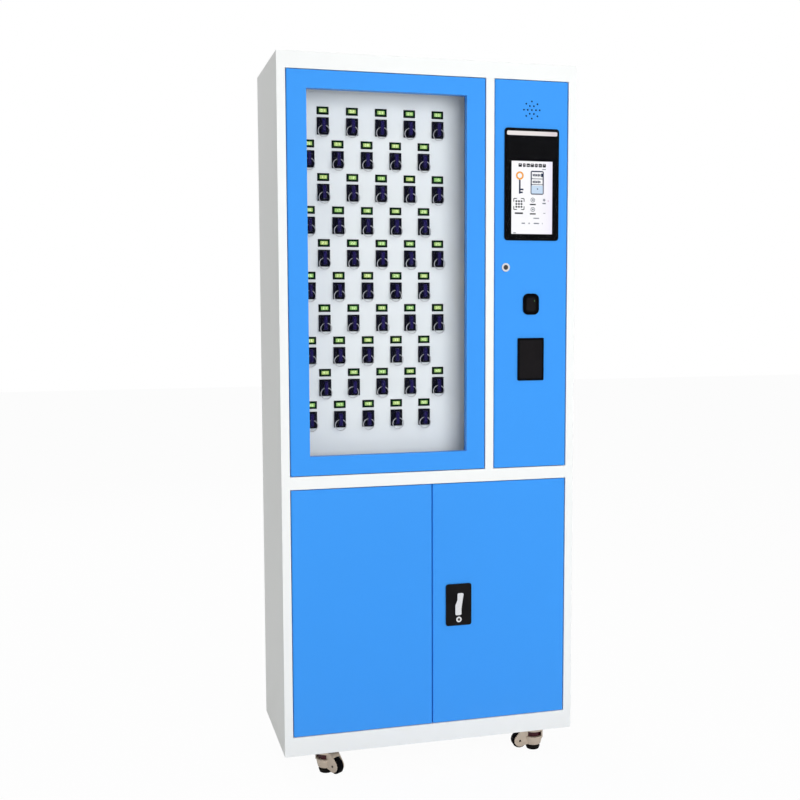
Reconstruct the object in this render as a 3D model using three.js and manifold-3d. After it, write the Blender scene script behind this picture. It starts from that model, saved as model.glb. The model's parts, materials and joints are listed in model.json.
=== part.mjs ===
// Electronic key management cabinet: a sheet-steel cabinet on four levelling casters. A glazed door
// covers fifty key slots, a control door carries the terminal and the readers, and two doors close the
// cupboard below.
// Millimetres, +Z up, origin on the floor under the middle of the cabinet, front towards -Y.
import * as THREE from 'three';
import { mergeVertices } from 'three/addons/utils/BufferGeometryUtils.js';
import Module from 'manifold-3d';

const wasm = await Module();
wasm.setup();

// ---------------------------------------------------------------- driving dimensions
// Carcass
const cabinetWidth = 800;
const cabinetDepth = 350;
const cabinetHeight = 1800;
const sheet = 1.5;
const gap = 0.3;
const stileWidth = 22;
const topRail = 42;
const middleRail = 33;
const bottomRail = 50;
const stopClearance = 2.5;
const stopLip = 10;
const middleStile = 22.5;
const controlOpening = 208;
const cupboardOpening = 652;
const foldWidth = 15;

// Doors
const doorGap = 2;
const doorThickness = 20;
const doorFlange = 25;
const doorCorner = 3;
const hingeInset = 6;
const pinRadius = 2.5;
const pinReach = 5;
const windowBorder = { side: 50.5, top: 44.5, bottom: 48.5 };
const glassThickness = 4;
const glassOverlap = 10;
const gasketLip = 4;
const gasketThickness = 2;

// Key slots
const keyPanelSetback = 80;
const slotRows = 10;
const slotColumns = 5;
const columnPitch = 77;
const rowPitch = 84.4;
const topRowBelowOpening = 87;
const displaySize = { width: 31, height: 19.5, proud: 2.5 };
const socketSize = { width: 30.5, height: 43, proud: 6 };
const slotSpacing = 8;
const boardSetback = 2;
const boardThickness = 1.6;
const boardSpacing = 1.9;
const fobSize = { width: 8.5, height: 34, head: 15, shank: 5, hole: 3 };
const fobClearance = 0.5;
const fobPlaces = [
  { name: 'key_fob_1', row: 2, column: 2 },
  { name: 'key_fob_2', row: 5, column: 3 },
  { name: 'key_fob_3', row: 8, column: 1 },
];

// Control door fittings, each centred on the door's width or placed from its left edge
const fittingProud = 4;
const speakerDrop = 75;
const speakerRadius = 26;
const speakerDepth = 14;
const speakerHole = 2.5;
const speakerRings = [
  { radius: 0, count: 1 },
  { radius: 11.5, count: 6 },
  { radius: 22, count: 8 },
];
const terminalDrop = 123;
const camLockBelowTerminal = 71;
const fingerBelowTerminal = 140;
const cardBelowFinger = 62;
const terminalSize = { width: 152, height: 292, corner: 8, depth: 38 };
const terminalRim = 3;
const terminalGlassThickness = 2;
const flangeOverlap = 3;
const camLockInset = 30.4;
const camLockFlange = 11.5;
const camLockBarrel = 9;
const camLockPlug = 6;
const camLength = 32;
const camWidth = 14;
const camThickness = 2;
const keyway = { width: 1.2, height: 7, depth: 7 };
const fingerSize = { width: 45, height: 56, corner: 14, depth: 24 };
const cardSize = { width: 74, height: 113.5, corner: 3, depth: 18 };

// Cupboard latch
const latchSize = { width: 71, height: 113, corner: 6, depth: 14 };
const latchFromSeam = 37;
const latchHeight = 315.5;
const leverHalfLength = 30;
const leverHalfWidth = 8.6;
const leverShift = 2.9;
const leverCorner = 4;
const leverStep = { from: 3, to: 12 };
const leverThickness = 6;
const leverShaft = 6;
const crankRadius = 17;
const crankThickness = 3;
const keyCylinderRadius = 5.5;
const keyCylinderAboveEdge = 16.5;
const rodRadius = 3;
const rodBehindLip = 3.5;
const rodRest = 4;
const rodHubClearance = 4;
const guideHalf = 7;
const guideHeight = 8;

// Cupboard shelf, power supply and power inlet
const shelfHeight = 380;
const shelfFold = 20;
const shelfInset = 25;
const ledge = { width: 12, length: 200, height: 10 };
const supplySize = { width: 110, depth: 42, height: 200, above: 90 };
const inletSize = { width: 48, height: 28, depth: 24, above: 45 };

// Electric door lock
const lockSize = { toPanel: 5, height: 72, slotWidth: 8, slotHeight: 30, slotDepth: 22, behindLip: 4 };
const strikerSize = { base: 26, height: 44, tongue: 2, tongueHeight: 20, tongueDepth: 20 };

// Levelling casters
const casterInsetLeft = 117;
const casterInsetRight = 93;
const casterInsetFront = 48;
const casterPlate = { size: 58, thickness: 3, race: 25, raceHeight: 5.4 };
const casterTurn = { front_left: -59, front_right: 175, rear_left: 200, rear_right: -20 };
const wheelRadius = 21.5;
const wheelWidth = 18;
const wheelLift = 5;
const wheelPlay = 1.5;
const axleRadius = 3;
const cheekThickness = 3.5;
const cheekInset = 5;
const padRadius = 20;
const padTread = 17;
const padHeight = 9;
const padNeck = 16.5;
const padNeckTop = 15;
const stemRadius = 5;
const stemBelowDeck = 8;
const cupClearance = 0.5;
const cupPlay = 2.5;
const cupWall = 3;
const cupHollowDepth = 12.5;
const thumbBelowWheelTop = 8.5;
const thumbHeight = 14;
const thumbRadius = 21.7;
const thumbRibs = 10;
const thumbClearance = 0.5;
const thumbPlay = 0.9;
const thumbToWheel = 0.95;
const webWall = 5.6;
const deckThickness = 5;
const roundSteps = 16;
const cornerSteps = 2;

// ---------------------------------------------------------------- worked-out planes and lines
const halfWidth = cabinetWidth / 2;
const front = -cabinetDepth / 2;
const back = cabinetDepth / 2;
const innerHalf = halfWidth - sheet - gap;
const frameDepth = doorThickness + stopClearance + sheet;
const behindFace = front + sheet + gap;
const behindFrame = front + frameDepth + gap;
const backPanelRear = back - sheet - gap;
const insideBack = backPanelRear - sheet - gap;
const underTop = cabinetHeight - sheet - gap;
const cupboardBottom = bottomRail;
const cupboardTop = bottomRail + cupboardOpening;
const upperBottom = cupboardTop + middleRail;
const upperTop = cabinetHeight - topRail;
const openingLeft = -halfWidth + stileWidth;
const openingRight = halfWidth - stileWidth;
const controlLeft = openingRight - controlOpening;
const keyRight = controlLeft - middleStile;
const partitionX = (keyRight + controlLeft) / 2;
const hingeY = front + hingeInset;
const doorBack = front + doorThickness;
// Levels of a caster, from the floor up
const wheelZ = wheelLift + wheelRadius;
const thumbBottom = wheelZ + wheelRadius - thumbBelowWheelTop;
const thumbTop = thumbBottom + thumbHeight;
const thumbFloor = thumbBottom - thumbClearance;
const thumbCeiling = thumbTop + thumbClearance;
const deckTop = thumbCeiling + deckThickness;
const casterHeight = deckTop + gap + casterPlate.raceHeight + casterPlate.thickness + gap;
const cupBottom = padNeckTop + cupClearance;
const stemTop = deckTop - stemBelowDeck;
// The wheel's rim passes the lower edge of the thumb wheel with a small gap.
const rimReach = Math.sqrt((wheelRadius + thumbToWheel) ** 2 - (wheelRadius - thumbBelowWheelTop) ** 2);
const wheelOffset = thumbRadius + rimReach;

const openings = {
  key: { left: openingLeft, right: keyRight, bottom: upperBottom, top: upperTop },
  control: { left: controlLeft, right: openingRight, bottom: upperBottom, top: upperTop },
  cupboard: { left: openingLeft, right: openingRight, bottom: cupboardBottom, top: cupboardTop },
};
const doors = {
  key: { ...openings.key, hinge: 'left' },
  control: { ...openings.control, hinge: 'right' },
  cupboardLeft: { ...openings.cupboard, right: doorGap / 2, hinge: 'left' },
  cupboardRight: { ...openings.cupboard, left: -doorGap / 2, hinge: 'right' },
};

// ---------------------------------------------------------------- materials
const paint = {
  white: { color: 0xeff2ef, roughness: 0.45, metalness: 0.0 },
  grey: { color: 0xc9ccca, roughness: 0.5, metalness: 0.0 },
  blue: { color: 0x3f95ec, roughness: 0.4, metalness: 0.0 },
  black: { color: 0x121214, roughness: 0.35, metalness: 0.0 },
  glossBlack: { color: 0x0a0a0c, roughness: 0.1, metalness: 0.0 },
  rubber: { color: 0x1a1a1a, roughness: 0.8, metalness: 0.0 },
  glass: { color: 0xdfeaf0, roughness: 0.05, metalness: 0.0, transparent: true, opacity: 0.3 },
  chrome: { color: 0xd5d7d8, roughness: 0.2, metalness: 1.0 },
  zinc: { color: 0xb4b8ba, roughness: 0.4, metalness: 0.9 },
  violet: { color: 0x33286e, roughness: 0.4, metalness: 0.0 },
  beige: { color: 0xb4a598, roughness: 0.5, metalness: 0.2 },
  red: { color: 0x5a0f18, roughness: 0.5, metalness: 0.0 },
};

// ---------------------------------------------------------------- solids
function toSolid(geometry) {
  const bare = geometry.clone();
  bare.deleteAttribute('normal');
  bare.deleteAttribute('uv');
  const merged = mergeVertices(bare, 1e-4);
  const index = merged.index.array;
  const triangles = [];
  for (let i = 0; i < index.length; i += 3) {
    const [a, b, c] = [index[i], index[i + 1], index[i + 2]];
    if (a !== b && b !== c && c !== a) {
      triangles.push(a, b, c);
    }
  }
  const mesh = new wasm.Mesh({
    numProp: 3,
    vertProperties: new Float32Array(merged.attributes.position.array),
    triVerts: new Uint32Array(triangles),
  });
  return new wasm.Manifold(mesh);
}

function toGeometry(solid) {
  const mesh = solid.getMesh();
  const geometry = new THREE.BufferGeometry();
  geometry.setAttribute('position', new THREE.BufferAttribute(new Float32Array(mesh.vertProperties), 3));
  geometry.setIndex(new THREE.BufferAttribute(new Uint32Array(mesh.triVerts), 1));
  geometry.computeVertexNormals();
  return geometry;
}

function piece(name, solid, finish) {
  const mesh = new THREE.Mesh(toGeometry(solid), new THREE.MeshStandardMaterial(finish));
  mesh.name = name;
  return mesh;
}

function grown([low, high], by) {
  return [low - by, high + by];
}

function block([x0, x1], [y0, y1], [z0, z1]) {
  const geometry = new THREE.BoxGeometry(x1 - x0, y1 - y0, z1 - z0);
  geometry.translate((x0 + x1) / 2, (y0 + y1) / 2, (z0 + z1) / 2);
  return toSolid(geometry);
}

function uprightRod(radius, [x, y], [z0, z1], steps = roundSteps) {
  const geometry = new THREE.CylinderGeometry(radius, radius, z1 - z0, steps);
  geometry.rotateX(Math.PI / 2);
  geometry.translate(x, y, (z0 + z1) / 2);
  return toSolid(geometry);
}

function levelRod(radius, [x, z], [y0, y1], steps = roundSteps) {
  const geometry = new THREE.CylinderGeometry(radius, radius, y1 - y0, steps);
  geometry.translate(x, (y0 + y1) / 2, z);
  return toSolid(geometry);
}

// A profile of [radius, z] points that starts and ends on the axis, turned about Z.
function turned(points) {
  const profile = points.map(([radius, z]) => new THREE.Vector2(radius, z));
  const geometry = new THREE.LatheGeometry(profile, roundSteps);
  geometry.rotateX(Math.PI / 2);
  return toSolid(geometry);
}

function extruded(shape, depth, curveSegments = cornerSteps) {
  return new THREE.ExtrudeGeometry(shape, { depth, bevelEnabled: false, curveSegments });
}

// A shape drawn in X and Z, with its depth from y0 to y1.
function facing(shape, [y0, y1], curveSegments = cornerSteps) {
  const geometry = extruded(shape, y1 - y0, curveSegments);
  geometry.rotateX(Math.PI / 2);
  geometry.translate(0, y1, 0);
  return toSolid(geometry);
}

function roundedRectangle(x0, x1, z0, z1, corner) {
  const shape = new THREE.Shape();
  shape.moveTo(x0 + corner, z0);
  shape.absarc(x1 - corner, z0 + corner, corner, -Math.PI / 2, 0, false);
  shape.absarc(x1 - corner, z1 - corner, corner, 0, Math.PI / 2, false);
  shape.absarc(x0 + corner, z1 - corner, corner, Math.PI / 2, Math.PI, false);
  shape.absarc(x0 + corner, z0 + corner, corner, Math.PI, 1.5 * Math.PI, false);
  return shape;
}

function roundedBlock(centreX, centreZ, size, [y0, y1], shrink = 0) {
  const halfX = size.width / 2 - shrink;
  const halfZ = size.height / 2 - shrink;
  const corner = Math.max(size.corner - shrink, 0.5);
  const shape = roundedRectangle(centreX - halfX, centreX + halfX, centreZ - halfZ, centreZ + halfZ, corner);
  return facing(shape, [y0, y1]);
}

// ---------------------------------------------------------------- carcass
function frameHinge(door) {
  const inset = doorGap + hingeInset;
  return door.hinge === 'left' ? door.left + inset : door.right - inset;
}

function frontFrame() {
  let frame = block([-halfWidth, halfWidth], [front, front + sheet], [0, cabinetHeight]);
  for (const opening of Object.values(openings)) {
    const x = [opening.left, opening.right];
    const z = [opening.bottom, opening.top];
    const hole = block(x, [front - 1, front + frameDepth + 1], z);
    const returns = block(
      [x[0] - sheet, x[1] + sheet],
      [front, front + frameDepth],
      [z[0] - sheet, z[1] + sheet],
    );
    const lip = block(x, [front + frameDepth - sheet, front + frameDepth], z);
    const lipHole = block(
      [x[0] + stopLip, x[1] - stopLip],
      [front, front + frameDepth + 1],
      [z[0] + stopLip, z[1] - stopLip],
    );
    frame = frame.add(returns).subtract(hole).add(lip.subtract(lipHole));
  }
  for (const door of Object.values(doors)) {
    const span = [door.bottom - sheet - 1, door.top + sheet + 1];
    frame = frame.subtract(uprightRod(pinRadius + gap, [frameHinge(door), hingeY], span, 12));
  }
  return piece('front_frame', frame, paint.white);
}

function sidePanel(name, side) {
  const outer = side * halfWidth;
  const inner = side * (halfWidth - sheet);
  const x = [Math.min(outer, inner), Math.max(outer, inner)];
  const foldEnd = side * (halfWidth - sheet - foldWidth);
  const foldX = [Math.min(inner, foldEnd), Math.max(inner, foldEnd)];
  const ledgeEnd = side * (halfWidth - sheet - ledge.width);
  const ledgeX = [Math.min(inner, ledgeEnd), Math.max(inner, ledgeEnd)];
  const ledgeTop = shelfHeight - shelfFold - gap;
  const panel = block(x, [behindFace, back], [0, cabinetHeight])
    .add(block(foldX, [back - sheet, back], [0, cabinetHeight]))
    .add(block(ledgeX, [-ledge.length / 2, ledge.length / 2], [ledgeTop - ledge.height, ledgeTop]));
  return piece(name, panel, paint.grey);
}

function topPanel() {
  const foldHalf = innerHalf - foldWidth;
  const z = [cabinetHeight - sheet, cabinetHeight];
  const panel = block([-innerHalf, innerHalf], [behindFace, backPanelRear], z)
    .add(block([-foldHalf, foldHalf], [backPanelRear - sheet, back], z))
    .add(block([-foldHalf, foldHalf], [back - sheet, back], [cabinetHeight - foldWidth, cabinetHeight]));
  return piece('top_panel', panel, paint.white);
}

// A rectangular tube open at both ends, whose bottom sheet runs forward under the bottom rail.
function baseBox() {
  const x = [-innerHalf, innerHalf];
  const hollow = block(
    [-halfWidth, halfWidth],
    [behindFrame + sheet, insideBack - sheet],
    [sheet, bottomRail - sheet],
  );
  const box = block(x, [behindFrame, insideBack], [0, bottomRail])
    .subtract(hollow)
    .add(block(x, [behindFace, behindFrame + sheet], [0, sheet]));
  return piece('base_box', box, paint.white);
}

function inletCentre() {
  return [(controlLeft + openingRight) / 2, upperBottom + inletSize.above];
}

function backPanel() {
  const louvreColumns = [-0.25, 0.25];
  const louvreRows = 8;
  const louvreLength = 90;
  const louvreHeight = 5;
  const louvrePitch = 16;
  const bottom = gap;
  const top = cabinetHeight - foldWidth - gap;
  const y = [backPanelRear - sheet, backPanelRear];
  let panel = block([-innerHalf, innerHalf], y, [bottom, top]);
  for (const share of louvreColumns) {
    for (let row = 0; row < louvreRows; row += 1) {
      const x = share * cabinetWidth;
      const z = upperTop - 60 - row * louvrePitch;
      const slotX = [x - louvreLength / 2, x + louvreLength / 2];
      panel = panel.subtract(block(slotX, grown(y, 1), [z, z + louvreHeight]));
    }
  }
  const [inletX, inletZ] = inletCentre();
  const halfX = inletSize.width / 2 - flangeOverlap + gap;
  const halfZ = inletSize.height / 2 - flangeOverlap + gap;
  const cutout = block([inletX - halfX, inletX + halfX], grown(y, 1), [inletZ - halfZ, inletZ + halfZ]);
  return piece('back_panel', panel.subtract(cutout), paint.grey);
}

function powerInlet() {
  const [x, z] = inletCentre();
  const halfX = inletSize.width / 2;
  const halfZ = inletSize.height / 2;
  const rear = back - gap;
  const flangeFront = backPanelRear + gap;
  const recessX = 12;
  const recessZ = 8.5;
  const recessDepth = 15;
  const inlet = block([x - halfX, x + halfX], [flangeFront, rear], [z - halfZ, z + halfZ])
    .add(block(
      [x - halfX + flangeOverlap, x + halfX - flangeOverlap],
      [rear - inletSize.depth, rear],
      [z - halfZ + flangeOverlap, z + halfZ - flangeOverlap],
    ))
    .subtract(block([x - recessX, x + recessX], [rear - recessDepth, back], [z - recessZ, z + recessZ]));
  return piece('power_inlet', inlet, paint.black);
}

function middleShelf() {
  const x = [-innerHalf, innerHalf];
  const y = [behindFrame, insideBack];
  const foldBottom = upperBottom - shelfFold;
  const shelf = block(x, y, [upperBottom - sheet, upperBottom])
    .add(block(x, [y[0], y[0] + sheet], [foldBottom, upperBottom]))
    .add(block(x, [y[1] - sheet, y[1]], [foldBottom, upperBottom]));
  return piece('middle_shelf', shelf, paint.white);
}

function partition() {
  const z = [upperBottom + gap, underTop];
  const y = [behindFrame, insideBack];
  const wall = block([partitionX - sheet / 2, partitionX + sheet / 2], y, z)
    .add(block([partitionX, partitionX + foldWidth], y, [z[0], z[0] + sheet]))
    .add(block([partitionX, partitionX + foldWidth], y, [z[1] - sheet, z[1]]));
  return piece('partition', wall, paint.white);
}

function cupboardShelf() {
  const x = [-innerHalf, innerHalf];
  const y = [behindFrame + shelfInset, insideBack];
  const foldBottom = shelfHeight - shelfFold;
  const shelf = block(x, y, [shelfHeight - sheet, shelfHeight])
    .add(block(x, [y[0], y[0] + sheet], [foldBottom, shelfHeight]))
    .add(block(x, [y[1] - sheet, y[1]], [foldBottom, shelfHeight]));
  return piece('cupboard_shelf', shelf, paint.white);
}

function powerSupply() {
  const x0 = partitionX + sheet / 2 + foldWidth + doorFlange;
  const z0 = upperBottom + supplySize.above;
  const y1 = insideBack;
  const y0 = y1 - supplySize.depth;
  const ventPitch = 12;
  const ventHeight = 4;
  const ventDepth = 3;
  const ventMargin = 20;
  let box = block([x0, x0 + supplySize.width], [y0, y1], [z0, z0 + supplySize.height]);
  for (let z = z0 + ventMargin; z < z0 + supplySize.height - ventMargin; z += ventPitch) {
    const x = [x0 + ventMargin, x0 + supplySize.width - ventMargin];
    box = box.subtract(block(x, [y0 - 1, y0 + ventDepth], [z, z + ventHeight]));
  }
  return piece('power_supply', box, paint.zinc);
}

// ---------------------------------------------------------------- key slots
const panelFront = front + keyPanelSetback;
const panelBack = panelFront + sheet;
const keyCentre = (openingLeft + keyRight) / 2;

// The middle of a slot's display. Rows count down from the top, and every second row is half a pitch
// to the left.
function slotPlace(row, column) {
  const shift = row % 2 === 1 ? -columnPitch / 2 : 0;
  const x = keyCentre + (column - (slotColumns - 1) / 2) * columnPitch + shift;
  return [x, upperTop - topRowBelowOpening - row * rowPitch];
}

function slotBlocks(row, column) {
  const [x, z] = slotPlace(row, column);
  const displayBottom = z - displaySize.height / 2;
  const socketTop = displayBottom - slotSpacing;
  return {
    display: {
      x: [x - displaySize.width / 2, x + displaySize.width / 2],
      z: [displayBottom, displayBottom + displaySize.height],
    },
    socket: {
      x: [x - socketSize.width / 2, x + socketSize.width / 2],
      z: [socketTop - socketSize.height, socketTop],
    },
  };
}

function keyPanel() {
  const x = [-innerHalf, partitionX - sheet / 2 - gap];
  const z = [upperBottom + gap, underTop];
  let panel = block(x, [panelFront, panelBack], z)
    .add(block([x[0], x[0] + sheet], [panelFront, panelFront + foldWidth], z))
    .add(block([x[1] - sheet, x[1]], [panelFront, panelFront + foldWidth], z));
  for (let row = 0; row < slotRows; row += 1) {
    for (let column = 0; column < slotColumns; column += 1) {
      for (const part of Object.values(slotBlocks(row, column))) {
        const through = [panelFront - 1, panelBack + 1];
        panel = panel.subtract(block(grown(part.x, gap), through, grown(part.z, gap)));
      }
    }
  }
  return piece('key_panel', panel, paint.white);
}

function fobSocketFloor() {
  return panelFront - socketSize.proud + fobSize.shank + fobClearance;
}

// One circuit board carries two rows: ten displays and ten sockets that look out through the key panel.
// Its margin leaves the spacing between its edge and the next board's.
const slotHeight = displaySize.height + slotSpacing + socketSize.height;
const boardMargin = (rowPitch - slotHeight - boardSpacing) / 2;

function keyBoard(index) {
  const rows = [index * 2, index * 2 + 1];
  const boardFront = panelBack + boardSetback;
  const boardBack = boardFront + boardThickness;
  const first = slotBlocks(rows[0], slotColumns - 1);
  const last = slotBlocks(rows[1], 0);
  const x = [last.socket.x[0] - boardMargin, first.display.x[1] + boardMargin];
  const z = [last.socket.z[0] - boardMargin, first.display.z[1] + boardMargin];
  let board = block(x, [boardFront, boardBack], z);
  for (const row of rows) {
    for (let column = 0; column < slotColumns; column += 1) {
      const { display, socket } = slotBlocks(row, column);
      const root = boardFront + boardThickness / 2;
      board = board
        .add(block(display.x, [panelFront - displaySize.proud, root], display.z))
        .add(block(socket.x, [panelFront - socketSize.proud, root], socket.z));
    }
  }
  for (const place of fobPlaces.filter(({ row }) => rows.includes(row))) {
    const { socket } = slotBlocks(place.row, place.column);
    const [x0, z0] = [(socket.x[0] + socket.x[1]) / 2, (socket.z[0] + socket.z[1]) / 2];
    const halfX = fobSize.width / 2 + fobClearance;
    const halfZ = fobSize.height / 2 + fobClearance;
    board = board.subtract(block(
      [x0 - halfX, x0 + halfX],
      [panelFront - socketSize.proud - 1, fobSocketFloor()],
      [z0 - halfZ, z0 + halfZ],
    ));
  }
  return piece(`key_board_${index + 1}`, board, paint.black);
}

// A flat upright fob with a round-ended head and a cross hole for its key ring.
function keyFob({ name, row, column }) {
  const { socket } = slotBlocks(row, column);
  const [x, z] = [(socket.x[0] + socket.x[1]) / 2, (socket.z[0] + socket.z[1]) / 2];
  const y = [panelFront - socketSize.proud - fobSize.head, fobSocketFloor() - gap];
  const halfX = fobSize.width / 2;
  const halfZ = fobSize.height / 2;
  const nose = 6;
  const profile = new THREE.Shape();
  profile.moveTo(y[1], -halfZ);
  profile.lineTo(y[1], halfZ);
  profile.lineTo(y[0] + nose, halfZ);
  profile.absarc(y[0] + nose, halfZ - nose, nose, Math.PI / 2, Math.PI, false);
  profile.absarc(y[0] + nose, -halfZ + nose, nose, Math.PI, 1.5 * Math.PI, false);
  const geometry = extruded(profile, fobSize.width);
  geometry.rotateX(Math.PI / 2);
  geometry.rotateZ(Math.PI / 2);
  geometry.translate(x - halfX, 0, z);
  const cross = new THREE.CylinderGeometry(fobSize.hole, fobSize.hole, fobSize.width + 2, 8);
  cross.rotateZ(Math.PI / 2);
  cross.translate(x, y[0] + nose, z);
  return piece(name, toSolid(geometry).subtract(toSolid(cross)), paint.violet);
}

// ---------------------------------------------------------------- doors
function doorSpan(door) {
  return {
    x: [door.left + doorGap, door.right - doorGap],
    z: [door.bottom + doorGap, door.top - doorGap],
  };
}

// A folded pan with rounded front corners, open at the back inside a flange, with a hinge pin at the top
// and at the bottom.
function doorPan(door) {
  const { x, z } = doorSpan(door);
  const plan = new THREE.Shape();
  plan.moveTo(x[0], doorBack);
  plan.lineTo(x[0], front + doorCorner);
  plan.absarc(x[0] + doorCorner, front + doorCorner, doorCorner, Math.PI, 1.5 * Math.PI, false);
  plan.absarc(x[1] - doorCorner, front + doorCorner, doorCorner, 1.5 * Math.PI, 2 * Math.PI, false);
  plan.lineTo(x[1], doorBack);
  const geometry = extruded(plan, z[1] - z[0]);
  geometry.translate(0, 0, z[0]);
  const cavity = block(grown(x, -sheet), [front + sheet, doorBack - sheet], grown(z, -sheet));
  const rear = block(grown(x, -doorFlange), [front + sheet, doorBack + 1], grown(z, -doorFlange));
  const axis = [frameHinge(door), hingeY];
  const reach = sheet + pinReach;
  return toSolid(geometry)
    .subtract(cavity)
    .subtract(rear)
    .add(uprightRod(pinRadius, axis, [z[1] - reach, z[1] + pinReach], 12))
    .add(uprightRod(pinRadius, axis, [z[0] - pinReach, z[0] + reach], 12));
}

function windowSpan() {
  const { x, z } = doorSpan(doors.key);
  return {
    x: grown(x, -windowBorder.side),
    z: [z[0] + windowBorder.bottom, z[1] - windowBorder.top],
  };
}

function glazedDoor() {
  const { x, z } = windowSpan();
  const through = [front - 1, doorBack + 1];
  const walls = block(grown(x, sheet), [front, doorBack], grown(z, sheet));
  const fold = sheet + foldWidth;
  const rearFlange = block(grown(x, fold), [doorBack - sheet, doorBack], grown(z, fold));
  const frame = doorPan(doors.key)
    .add(walls)
    .add(rearFlange)
    .subtract(block(x, through, z));
  return piece('glazed_door_frame', frame, paint.blue);
}

const glassFront = doorBack + gap + gasketThickness + gap;

function doorGlass() {
  const { x, z } = windowSpan();
  const y = [glassFront, glassFront + glassThickness];
  const pane = block(grown(x, glassOverlap), y, grown(z, glassOverlap));
  return piece('door_glass', pane, paint.glass);
}

function glassGasket() {
  const { x, z } = windowSpan();
  const outer = glassOverlap + gap + gasketLip / 2;
  const y = [doorBack + gap, glassFront + glassThickness + gap + gasketThickness];
  const slot = glassOverlap + gap;
  const sight = 2;
  const ring = block(grown(x, outer), y, grown(z, outer))
    .subtract(block(grown(x, slot), [glassFront - gap, glassFront + glassThickness + gap], grown(z, slot)))
    .subtract(block(grown(x, sight), grown(y, 1), grown(z, sight)));
  return piece('glass_gasket', ring, paint.rubber);
}

function lockCentreZ() {
  return (upperBottom + upperTop) / 2;
}

function strikerX() {
  return windowSpan().x[1] + glassOverlap + gasketLip + strikerSize.base / 2 + 2;
}

function doorStriker() {
  const x = strikerX();
  const z = lockCentreZ();
  const y = doorBack + gap;
  const striker = block(
    [x - strikerSize.base / 2, x + strikerSize.base / 2],
    [y, y + strikerSize.tongue],
    [z - strikerSize.height / 2, z + strikerSize.height / 2],
  ).add(block(
    [x - strikerSize.tongue / 2, x + strikerSize.tongue / 2],
    [y, y + strikerSize.tongueDepth],
    [z - strikerSize.tongueHeight / 2, z + strikerSize.tongueHeight / 2],
  )).subtract(block(
    [x - strikerSize.tongue, x + strikerSize.tongue],
    [y + strikerSize.tongueDepth - 9, y + strikerSize.tongueDepth - 3],
    [z - 6, z + 6],
  ));
  return piece('door_striker', striker, paint.zinc);
}

function electricLock() {
  const x = strikerX();
  const z = lockCentreZ();
  const y0 = front + frameDepth + lockSize.behindLip;
  const y1 = panelFront - lockSize.toPanel;
  const body = block(
    [x - lockSize.slotWidth, partitionX - sheet / 2 - gap],
    [y0, y1],
    [z - lockSize.height / 2, z + lockSize.height / 2],
  ).subtract(block(
    [x - lockSize.slotWidth / 2, x + lockSize.slotWidth / 2],
    [y0 - 1, y0 + lockSize.slotDepth],
    [z - lockSize.slotHeight / 2, z + lockSize.slotHeight / 2],
  ));
  return piece('electric_lock', body, paint.zinc);
}

// ---------------------------------------------------------------- control door
const controlSpan = doorSpan(doors.control);
const controlCentre = (controlSpan.x[0] + controlSpan.x[1]) / 2;

// Upper edges, measured down from the door's top edge
const terminal = { ...terminalSize, drop: terminalDrop };
const finger = { ...fingerSize, drop: terminal.drop + terminal.height + fingerBelowTerminal };
const card = { ...cardSize, drop: finger.drop + finger.height + cardBelowFinger };

function fittingCentre(size) {
  return [controlCentre, controlSpan.z[1] - size.drop - size.height / 2];
}

function fittingCutout(size) {
  return roundedBlock(...fittingCentre(size), size, [front - 1, doorBack + 1], flangeOverlap - gap);
}

function camLockCentre() {
  const drop = terminal.drop + terminal.height + camLockBelowTerminal;
  return [controlSpan.x[0] + camLockInset, controlSpan.z[1] - drop];
}

function speakerCentre() {
  return [controlCentre, controlSpan.z[1] - speakerDrop];
}

function controlDoor() {
  let door = doorPan(doors.control);
  for (const size of [terminal, finger, card]) {
    door = door.subtract(fittingCutout(size));
  }
  const [speakerX, speakerZ] = speakerCentre();
  for (const { radius, count } of speakerRings) {
    for (let i = 0; i < count; i += 1) {
      const angle = (2 * Math.PI * i) / count;
      const at = [speakerX + radius * Math.cos(angle), speakerZ + radius * Math.sin(angle)];
      door = door.subtract(levelRod(speakerHole, at, [front - 1, front + sheet + 1], 8));
    }
  }
  door = door.subtract(levelRod(camLockBarrel + gap, camLockCentre(), [front - 1, doorBack + 1]));
  return piece('control_door', door, paint.blue);
}

// A flanged front in front of the door's skin, and a narrower body that passes through it.
function fitting(size) {
  const centre = fittingCentre(size);
  return roundedBlock(...centre, size, [front - fittingProud, front - gap])
    .add(roundedBlock(...centre, size, [front - 1, front + size.depth], flangeOverlap));
}

function terminalHousing() {
  const centre = fittingCentre(terminal);
  const recess = [front - fittingProud - 1, front - fittingProud + terminalGlassThickness + gap];
  const housing = fitting(terminal).subtract(roundedBlock(...centre, terminal, recess, terminalRim));
  return piece('terminal_housing', housing, paint.black);
}

function terminalGlass() {
  const centre = fittingCentre(terminal);
  const y = [front - fittingProud, front - fittingProud + terminalGlassThickness];
  const pane = roundedBlock(...centre, terminal, y, terminalRim + gap);
  return piece('terminal_glass', pane, paint.glossBlack);
}

function fingerprintReader() {
  const centre = fittingCentre(finger);
  const recess = [front - fittingProud - 1, front - fittingProud + 1.5];
  const reader = fitting(finger).subtract(roundedBlock(...centre, finger, recess, 9));
  return piece('fingerprint_reader', reader, paint.black);
}

function cardReader() {
  return piece('card_reader', fitting(card), paint.glossBlack);
}

function speaker() {
  const centre = speakerCentre();
  const y = front + sheet + gap;
  const magnetRadius = speakerRadius * 0.6;
  const body = levelRod(speakerRadius, centre, [y, y + speakerDepth / 2])
    .add(levelRod(magnetRadius, centre, [y, y + speakerDepth]));
  return piece('speaker', body, paint.black);
}

const camFront = front + frameDepth + gap;

function keySlit([x, z], mouth) {
  const { width, height, depth } = keyway;
  return block([x - width / 2, x + width / 2], [mouth - 1, mouth + depth], [z - height / 2, z + height / 2]);
}

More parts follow.
